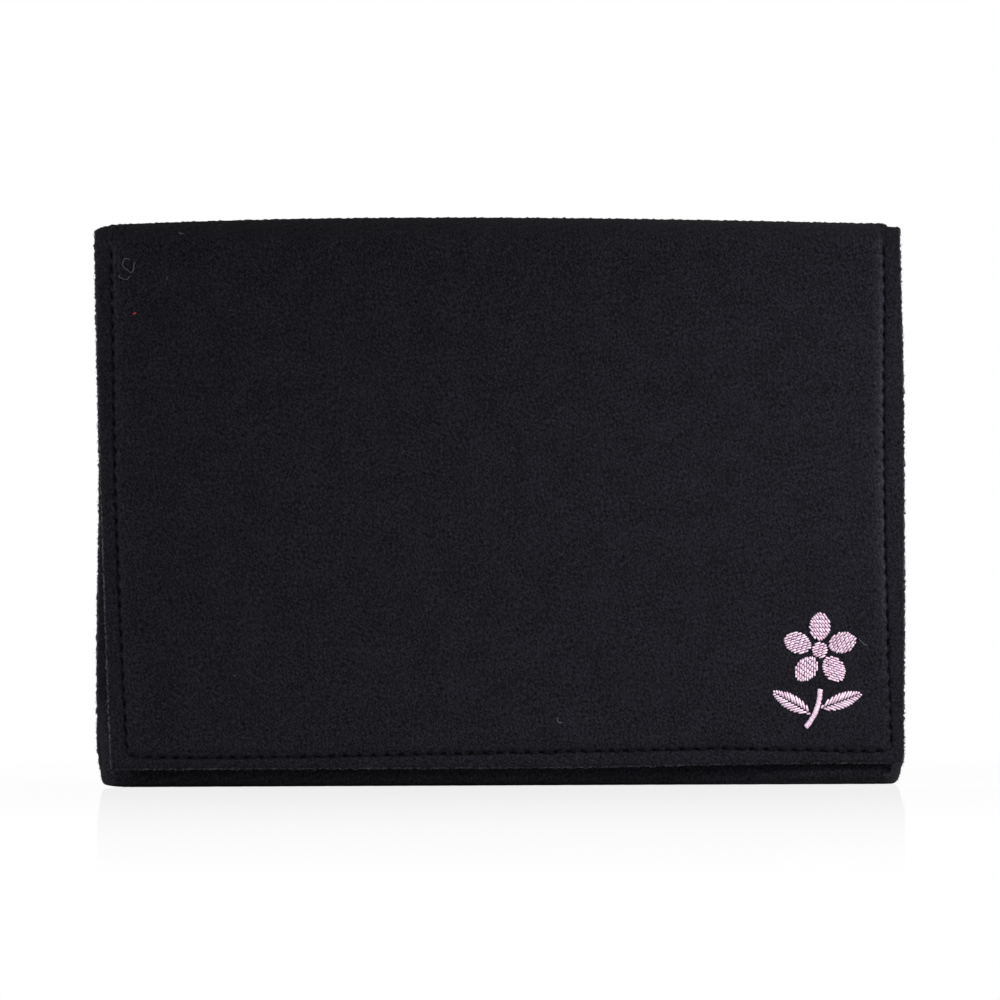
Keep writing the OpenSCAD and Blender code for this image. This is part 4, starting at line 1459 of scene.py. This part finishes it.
class NEEDLECASE_OT_stitching(bpy.types.Operator):
    """Sews the border of the flap and the two side seams"""

    bl_idname = "needle_case.stitching"
    bl_label = "Border and seam stitching"

    def execute(self, context):
        felt = context.scene.needle_case_felt
        thread = context.scene.needle_case_thread
        self.border(felt, thread)
        self.seams(felt, thread)
        return {"FINISHED"}

    def flap_lines(self, felt, pitch):
        """Lines of the flap's border in the cover's face and in its mid felt, each with its outward way."""
        skins = flap_skins(felt, pitch)
        height = np.where(skins.run > CREASE_RUN, skins.middle[0, :, 2], TOP)
        left, right = flap_edges(height)
        for x in (left + side_border(height, LEFT_ROW), right - side_border(height, RIGHT_ROW)):
            line, face, out = follow(x, skins)
            rows = height > hem_height(x) + hem_border(x)
            yield face[rows], line[rows], out[rows]
        left, right = flap_edges(HEM + BORDER_LEFT)
        x = np.linspace(left + side_border(HEM, LEFT_ROW), right - side_border(HEM, RIGHT_ROW), HEM_POINTS)
        z = hem_height(x) + hem_border(x)
        face = np.stack([x, flap_face_y(x, z, felt, pitch), z], axis=1)
        line = np.stack([x, flap_middle_y(x, z, felt), z], axis=1)
        yield face, line, towards(-1.0, len(x))

    def border(self, felt, thread):
        """The flap's border, on the cover and on the lining."""
        front, inside = Tubes(), Tubes()
        for number, (face, line, way) in enumerate(self.flap_lines(felt, thread.stitch)):
            sew_row(front, face, way, thread, 60 + number)
            sew_row(inside, line - way * (FELT / 2 + LINING), -way, thread, 65 + number)
        face_rows = front.piece("border_rows_face", sewing_thread(thread))
        carry(face_rows, "black_thread", "flap_fold", "flap_border_stitching")
        carry(inside.piece("border_rows_inside", sewing_thread(thread)), "black_thread", "flap_fold")

    def seams(self, felt, thread):
        """The side seams: on the pocket's front, and on the back up to the middle of the spine."""
        skins = body_skins(felt, thread.stitch)
        order = np.arange(len(skins.run))
        on_top = order >= skins.fold.start
        left, right = body_edges(np.where(on_top, TOP, skins.middle[0, :, 2]))
        sides = (("left", left + BORDER_LEFT), ("right", right - BORDER_RIGHT))
        for number, (side, x) in enumerate(sides):
            line, face, out = follow(x, skins)
            tall = line[:, 2] > SEAM_FOOT + SEAM_FADE
            tubes = Tubes()
            for rows in (tall & (order < skins.outside / 2), tall & (order >= skins.outside)):
                sew_row(tubes, face[rows][::-1], out[rows][::-1], thread, 70 + number)
            free = (order >= skins.outside) & (line[:, 2] > MOUTH + MOUTH_ROOM)
            under = (line - out * (FELT / 2 + LINING))[free][::-1]
            sew_row(tubes, under, -out[free][::-1], thread, 75 + number)
            piece = tubes.piece(f"{side}_seam_rows", sewing_thread(thread))
            carry(piece, "black_thread", "spine_fold", f"{side}_seam_stitching")


class NEEDLECASE_OT_closure(bpy.types.Operator):
    """Makes the two pairs of hook and loop tape and sews them on"""

    bl_idname = "needle_case.closure"
    bl_label = "Hook and loop tapes"

    def execute(self, context):
        tape = context.scene.needle_case_tape
        thread = context.scene.needle_case_thread
        kinds = (("hook", "flap", "flap_lining", 1.0), ("loop", "case", "cover_body", -1.0))
        for kind, body, carrier, facing in kinds:
            material = node_material(f"{kind}_tape_woven", tape_nodes, tape.colour)
            rows = Tubes()
            for number, side in enumerate(("left", "right")):
                node = f"{kind}_tape_{side}"
                ground = self.ground(node, facing, material)
                field = self.field(node, kind, facing, tape, 80 + number).piece(f"{node}_{kind}s", material)
                self.size(node)
                carry(ground, f"{kind}_tape", body, node)
                carry(field, f"{kind}_tape", body)
                self.sew(rows, node, facing, thread, 90 + number)
            piece = rows.piece(f"{kind}_tape_rows", sewing_thread(thread))
            carry(piece, "black_thread", body, f"{kind}_tape_stitching")
        return {"FINISHED"}

    def size(self, node):
        """Width and height of one piece of tape."""
        span = high(node) - low(node)
        return span.x, span.z

    def inset(self, node, by):
        """Half the width and half the height of a tape, less a margin."""
        return [length / 2 - by for length in self.size(node)]

    def seat(self, node, facing):
        """Middle of a tape's back, on what it is sewn to."""
        middle = (low(node) + high(node)) / 2
        return np.array([middle.x, low(node).y if facing > 0 else high(node).y, middle.z])

    def ground(self, node, facing, material):
        """The woven ground of one tape, with round corners."""
        wide, tall = self.inset(node, 0.0)
        a = np.linspace(-1.0, 1.0, 61)[:, None] * wide
        b = np.linspace(1.0, -1.0, 41)[None, :] * tall
        dx = np.maximum(np.abs(a) - (wide - TAPE_R), 0.0)
        dz = np.maximum(np.abs(b) - (tall - TAPE_R), 0.0)
        far = np.maximum(np.hypot(dx, dz), 1e-9)
        pull = np.where((dx > 0) & (dz > 0), np.maximum(dx, dz) / far, 1.0)
        x = np.sign(a) * (np.abs(a) - dx + dx * pull)
        z = np.sign(b) * (np.abs(b) - dz + dz * pull)
        seat = self.seat(node, facing)
        dent = TAPE_DENT * np.sin(x / TAPE_DENT_RUN) * np.sin(z / TAPE_DENT_RUN)
        back = np.stack([seat[0] + x, np.full(x.shape, seat[1]), seat[2] + z], axis=-1)
        face = back.copy()
        face[:, :, 1] += facing * (TAPE_BASE + dent)
        skins = (back, face) if facing > 0 else (face, back)
        points, faces, rim = closed_sheet(*skins, np.full(x.shape, TAPE_RIM))[:3]
        return new_piece(f"{node}_ground", points, faces, material, {"rim": rim})

    def field(self, node, kind, facing, tape, seed):
        """The hooks or the loops of one tape."""
        rng = np.random.default_rng(seed)
        wide, tall = self.inset(node, TAPE_EDGE)
        room = abs(high(node).y - low(node).y) - TAPE_BASE
        if kind == "hook":
            pitch = tape.hook_pitch
            x, z = np.meshgrid(np.arange(-wide, wide, pitch), np.arange(-tall, tall, pitch))
            x = x + np.where(np.arange(len(x))[:, None] % 2, pitch / 2, 0.0)
            place = np.stack([x.ravel(), z.ravel()], axis=1)
            place = place + rng.uniform(-0.06, 0.06, place.shape) * MM
            turn = np.where(rng.random(len(place)) < 0.5, 0.0, np.pi) + rng.normal(0, 0.2, len(place))
            angle = np.linspace(np.pi, -0.25 * np.pi, 7)
            stalk = room - HOOK_BEND - HOOK_ROOT
            side = np.concatenate([[0.0, 0.0], HOOK_BEND + HOOK_BEND * np.cos(angle)])
            rise = np.concatenate([[-HOOK_ROOT, stalk / 2], stalk + HOOK_BEND * np.sin(angle)])
            radius = HOOK_R
        else:
            place = rng.uniform(-1.0, 1.0, (tape.loop_count, 2)) * (wide, tall)
            turn = rng.uniform(0, 2 * np.pi, len(place))
            angle = np.linspace(-0.15 * np.pi, 1.15 * np.pi, 8)
            size = rng.uniform(*LOOP_SPAN, (len(place), 1)) * room * LOOP_SHARE
            side = size * np.cos(angle) * rng.uniform(*LOOP_WIDTH, (len(place), 1))
            rise = size * (np.sin(angle) + 0.9)
            radius = LOOP_R
        side = np.broadcast_to(side, (len(place), np.shape(side)[-1]))
        rise = np.broadcast_to(rise, side.shape)
        seat = self.seat(node, facing)
        path = np.stack([
            seat[0] + place[:, :1] + side * np.cos(turn)[:, None],
            seat[1] + facing * (TAPE_BASE + rise),
            seat[2] + place[:, 1:] + side * np.sin(turn)[:, None]], axis=-1)
        sideways = np.stack([-np.sin(turn), np.zeros(len(turn)), np.cos(turn)], axis=1)
        tubes = Tubes()
        tubes.add(path, sideways, radius, sides=5, shade=rng.uniform(0.3, 0.7, len(place)))
        return tubes

    def sew(self, rows, node, facing, thread, seed):
        """The row of stitches round one tape, on its plain edge."""
        wide, tall = self.inset(node, TAPE_EDGE / 2)
        corners = [(-wide, -tall), (wide, -tall), (wide, tall), (-wide, tall)]
        seat = self.seat(node, facing)
        for number, (a, b) in enumerate(zip(corners, corners[1:] + corners[:1])):
            flat = np.linspace(a, b, 30)
            line = np.stack([seat[0] + flat[:, 0], np.full(len(flat), seat[1]), seat[2] + flat[:, 1]], axis=1)
            stitches(rows, line, towards(facing, len(flat)), thread.stitch / 2, thread.fine_d, TAPE_BASE,
                     TAPE_BASE + TAPE_RAISED, seed * 10 + number)


class NEEDLECASE_OT_embroidery(bpy.types.Operator):
    """Embroiders the sprig in the lower corner of the flap, stitch by stitch"""

    bl_idname = "needle_case.embroidery"
    bl_label = "Embroidery"

    def execute(self, context):
        felt = context.scene.needle_case_felt
        thread = context.scene.needle_case_thread
        centre = (low("motif_centre") + high("motif_centre")) / 2
        self.middle = np.array([centre.x, centre.z])
        self.centre_r = (high("motif_centre").x - low("motif_centre").x) / 2
        self.reach = high("motif_petals").z - centre.z
        shapes = {"petals": self.petals, "centre": self.heart, "leaves": self.leaves, "stem": self.stem}
        for number, (name, shape) in enumerate(shapes.items()):
            self.sew(name, shape(thread), felt, thread, 100 + number)
        return {"FINISHED"}

    def oval(self, length, width):
        """Test for points inside a pointed oval that runs along the first axis."""
        radius = (length ** 2 + width ** 2) / (4 * width)

        def inside(u, w):
            half = np.sqrt(np.maximum(radius ** 2 - (u - length / 2) ** 2, 0.0)) - (radius - width / 2)
            return (u > 0) & (u < length) & (np.abs(w) < half)

        return inside

    def fill(self, inside, middle, reach, lean, thread, whole=False):
        """Stitches that fill a flat shape with leaning rows, each split into staggered stitches."""
        ahead = np.array([math.cos(lean), math.sin(lean)])
        aside = np.array([-ahead[1], ahead[0]])
        t = np.linspace(-reach, reach, 900)
        length = thread.fill_stitch
        found = []
        for number, offset in enumerate(np.arange(-reach, reach, thread.row_gap)):
            line = middle + t[:, None] * ahead + offset * aside
            kept = t[inside(line[:, 0], line[:, 1])]
            if len(kept) < 2 or kept[-1] - kept[0] < SHORTEST_ROW:
                continue
            shift = (number % 3) / 3.0 * length
            cuts = np.arange(-reach + shift, reach, length)
            cuts = cuts[(cuts > kept[0] + 0.3 * length) & (cuts < kept[-1] - 0.3 * length)]
            stops = [kept[0], *([] if whole else cuts), kept[-1]]
            for a, b in zip(stops, stops[1:]):
                ends = (a + NEEDLE_HOLE, b - NEEDLE_HOLE)
                found.append([middle + end * ahead + offset * aside for end in ends])
        return np.array(found)

    def turned(self, ends, angle, foot):
        """Stitch ends turned about the origin and moved to a foot point."""
        turn = np.array([[math.cos(angle), math.sin(angle)], [-math.sin(angle), math.cos(angle)]])
        return ends @ turn + foot

    def petals(self, thread):
        """The petals, filled on the bias."""
        start = self.centre_r + MOTIF_GAP
        length = self.reach - start
        middle = np.array([length / 2, 0.0])
        plain = self.fill(self.oval(length, PETAL_W), middle, length, PETAL_LEAN, thread)
        out = plain + np.array([start, 0.0])
        angles = math.pi / 2 + 2 * math.pi * np.arange(PETALS) / PETALS
        return np.concatenate([self.turned(out, a, self.middle) for a in angles])

    def heart(self, thread):
        """The round centre."""
        radius = self.centre_r

        def inside(u, w):
            return u ** 2 + w ** 2 < radius ** 2

        return self.fill(inside, np.zeros(2), 1.2 * radius, HEART_LEAN, thread) + self.middle

    def stem_point(self, share, radius):
        """A point on the stem's curve."""
        bend = np.array([-STEM_R, -self.reach - MOTIF_GAP])
        a = -math.radians(STEM_TURN) * np.asarray(share)
        return self.middle + bend + radius * np.stack([np.cos(a), np.sin(a)], axis=-1)

    def stem(self, thread):
        """Short slanting stitches across the stem."""
        count = int(math.radians(STEM_TURN) * STEM_R / (0.75 * thread.row_gap))
        share = np.linspace(0.0, 1.0, count)
        inner = self.stem_point(np.clip(share - STEM_SLANT / 2, 0, 1), STEM_R - STEM_W / 2)
        outer = self.stem_point(np.clip(share + STEM_SLANT / 2, 0, 1), STEM_R + STEM_W / 2)
        return np.stack([inner, outer], axis=1)

    def leaves(self, thread):
        """Two leaves, each in two halves that lean from the midrib."""
        shape = self.oval(LEAF_L, LEAF_W)
        middle = np.array([LEAF_L / 2, 0.0])
        halves = []
        for way in (1.0, -1.0):
            def half(u, w, way=way):
                return shape(u, w) & (w * way > MIDRIB)

            halves.append(self.fill(half, middle, LEAF_L, way * LEAF_LEAN, thread, whole=True))
        plain = np.concatenate(halves)
        made = []
        for side, share, lean in LEAVES:
            foot = self.stem_point(share, STEM_R + side * (STEM_W / 2 + MOTIF_GAP))
            made.append(self.turned(plain, math.radians(lean), foot))
        return np.concatenate(made)

    def sew(self, name, ends, felt, thread, seed):
        """Makes one embroidered shape from the ends of its stitches, on the flap's face."""
        rng = np.random.default_rng(seed)
        ends = ends + rng.normal(0, 0.04, ends.shape) * MM
        share = np.linspace(0.0, 1.0, 9)
        flat = ends[:, :1] + (ends[:, 1:] - ends[:, :1]) * share[None, :, None]
        face = flap_face_y(flat[:, :, 0], flat[:, :, 1], felt, thread.stitch)
        arch = 1.0 - np.abs(2 * share - 1) ** 2.6
        crest = rng.uniform(0.2, 0.36, (len(ends), 1)) * MM
        lift = -STITCH_DEPTH + (crest + STITCH_DEPTH) * arch
        path = np.stack([flat[:, :, 0], face - lift, flat[:, :, 1]], axis=-1)
        run = ends[:, 1] - ends[:, 0]
        sideways = np.stack([-run[:, 1], np.zeros(len(run)), run[:, 0]], axis=1)
        # A random tone for each stitch, darkened towards its ends as painted shade where the thread dips into
        # the felt
        tone = rng.uniform(0.25, 1.0, (len(ends), 1)) * (0.25 + 0.75 * arch)
        tubes = Tubes()
        tubes.add(path, sideways, thread.embroidery_d / 2, sides=8, shade=tone)
        carry(tubes.piece(f"embroidered_{name}", pink_thread(thread)), "pink_thread", "flap", f"motif_{name}")


class NEEDLECASE_OT_lint(bpy.types.Operator):
    """Lays a few stray hairs of lint on the flap"""

    bl_idname = "needle_case.lint"
    bl_label = "Lint"

    def execute(self, context):
        felt = context.scene.needle_case_felt
        pitch = context.scene.needle_case_thread.stitch
        kinds = (("lint", LINT, felt.fibre_and_edge_highlight, LINT_R), ("lint_red", RED_LINT, felt.red_lint, RED_LINT_R))
        for name, hairs, colour, radius in kinds:
            tubes = Tubes()
            for number, hair in enumerate(hairs):
                self.hair(tubes, hair, radius, felt, pitch, 120 + number)
            carry(tubes.piece(name, lint_fibre(name, colour)), "black_felt", "flap")
        return {"FINISHED"}

    def hair(self, tubes, hair, radius, felt, pitch, seed):
        """One hair: a curve of a given span, turned and curled, on the flap's face."""
        x, z, span = (length * MM for length in hair[:3])
        turn, curl = (math.radians(angle) for angle in hair[3:])
        share = np.linspace(-0.5, 0.5, 24)
        angle = turn + curl * share + 0.9 * ripple(share, seed, (0.5, 0.31, 0.17))
        step = span / len(share)
        flat_x, flat_z = np.cumsum(np.cos(angle)) * step, np.cumsum(np.sin(angle)) * step
        flat_x, flat_z = x + flat_x - flat_x.mean(), z + flat_z - flat_z.mean()
        face = flap_face_y(flat_x, flat_z, felt, pitch) - LINT_RISE
        path = np.stack([flat_x, face, flat_z], axis=1)[None]
        shade = np.random.default_rng(seed).uniform(0.3, 0.8, 1)
        tubes.add(path, towards(1.0, 1), radius, sides=5, shade=shade)


class NEEDLECASE_OT_stage(bpy.types.Operator):
    """Sets the pale floor, the soft light and the camera"""

    bl_idname = "needle_case.stage"
    bl_label = "Stage"

    def execute(self, context):
        scene = context.scene
        stage = scene.needle_case_stage
        scene.view_settings.view_transform = "Standard"
        self.floor(stage)
        self.world(scene, stage)
        key = self.lamp("key_light", "SPOT", stage.key_power, KEY_PLACE, KEY_AIM)
        key.spot_size = math.radians(KEY_CONE)
        key.spot_blend = 1.0
        key.shadow_soft_size = KEY_SIZE
        middle = (0.0, 0.0, SPINE_Z / 2)
        self.lamp("side_light", "AREA", stage.side_power, SIDE_PLACE, middle).size = SIDE_SIZE
        self.lamp("back_light", "AREA", stage.back_power, BACK_PLACE, middle).size = BACK_SIZE
        self.camera(scene, stage)
        return {"FINISHED"}

    def floor(self, stage):
        """A wide pale floor."""
        corners = [(x * FLOOR_HALF, y * FLOOR_HALF, 0) for x, y in ((-1, -1), (1, -1), (1, 1), (-1, 1))]
        mesh = bpy.data.meshes.new("floor")
        mesh.from_pydata(corners, [], [(0, 1, 2, 3)])
        mesh.materials.append(node_material("pale_floor", floor_nodes, stage))
        new_object("floor", mesh)

    def world(self, scene, stage):
        """White where it is seen, and a soft grey light from all round."""
        world = bpy.data.worlds.new("studio")
        world.use_nodes = True
        world.node_tree.nodes.clear()
        wiring = Wiring(world.node_tree)
        white = wiring.add("ShaderNodeBackground", {"Color": WHITE, "Strength": 1.0})
        grey = wiring.add("ShaderNodeBackground", {"Color": WHITE, "Strength": stage.ambient})
        mix = wiring.mix_shaders(wiring.seen(), grey, white)
        wiring.add("ShaderNodeOutputWorld", {"Surface": mix.outputs[0]})
        scene.world = world

    def lamp(self, name, kind, power, place, target):
        """A lamp in its place, aimed at a target."""
        light = bpy.data.lights.new(name, kind)
        light.energy = power
        lamp = new_object(name, light)
        lamp.location = place
        aim = Vector(target) - lamp.location
        lamp.rotation_euler = aim.to_track_quat("-Z", "Y").to_euler()
        return light

    def camera(self, scene, stage):
        """A long lens square to the flap."""
        lens = bpy.data.cameras.new("camera")
        lens.lens = lens.sensor_width * stage.camera_distance / stage.frame_width
        camera = new_object("camera", lens)
        camera.location = (0.0, FLAP_OUT - stage.camera_distance, stage.frame_middle)
        camera.rotation_euler = (math.pi / 2, stage.camera_roll, 0.0)
        scene.camera = camera


OPERATORS = (
    NEEDLECASE_OT_cover, NEEDLECASE_OT_lining, NEEDLECASE_OT_slot_panel, NEEDLECASE_OT_stitching,
    NEEDLECASE_OT_closure, NEEDLECASE_OT_embroidery, NEEDLECASE_OT_lint, NEEDLECASE_OT_stage,
)
SETTINGS = {
    "needle_case_felt": FeltSettings,
    "needle_case_thread": ThreadSettings,
    "needle_case_tape": TapeSettings,
    "needle_case_stage": StageSettings,
}


class NEEDLECASE_PT_panel(bpy.types.Panel):
    """Lists the steps that dress the needle case"""

    bl_idname = "NEEDLECASE_PT_panel"
    bl_label = "Needle case"
    bl_space_type = "VIEW_3D"
    bl_region_type = "UI"
    bl_category = "Needle case"

    def draw(self, context):
        for operator in OPERATORS:
            self.layout.operator(operator.bl_idname)
        for label in SETTINGS:
            settings = getattr(context.scene, label)
            box = self.layout.box()
            for name in settings.__annotations__:
                box.prop(settings, name)


CLASSES = (*SETTINGS.values(), *OPERATORS, NEEDLECASE_PT_panel)


def register():
    """Registers the settings, the operators and the panel."""
    for cls in CLASSES:
        bpy.utils.register_class(cls)
    for label, settings in SETTINGS.items():
        setattr(bpy.types.Scene, label, PointerProperty(type=settings))


def unregister():
    """Removes what register() added."""
    for label in SETTINGS:
        delattr(bpy.types.Scene, label)
    for cls in reversed(CLASSES):
        bpy.utils.unregister_class(cls)


def main():
    """Dresses the frame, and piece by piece."""
    register()
    bpy.ops.needle_case.stage()
    bpy.ops.needle_case.cover()
    bpy.ops.needle_case.lining()
    bpy.ops.needle_case.slot_panel()
    bpy.ops.needle_case.stitching()
    bpy.ops.needle_case.closure()
    bpy.ops.needle_case.embroidery()
    bpy.ops.needle_case.lint()


if __name__ == "__main__":
    main()
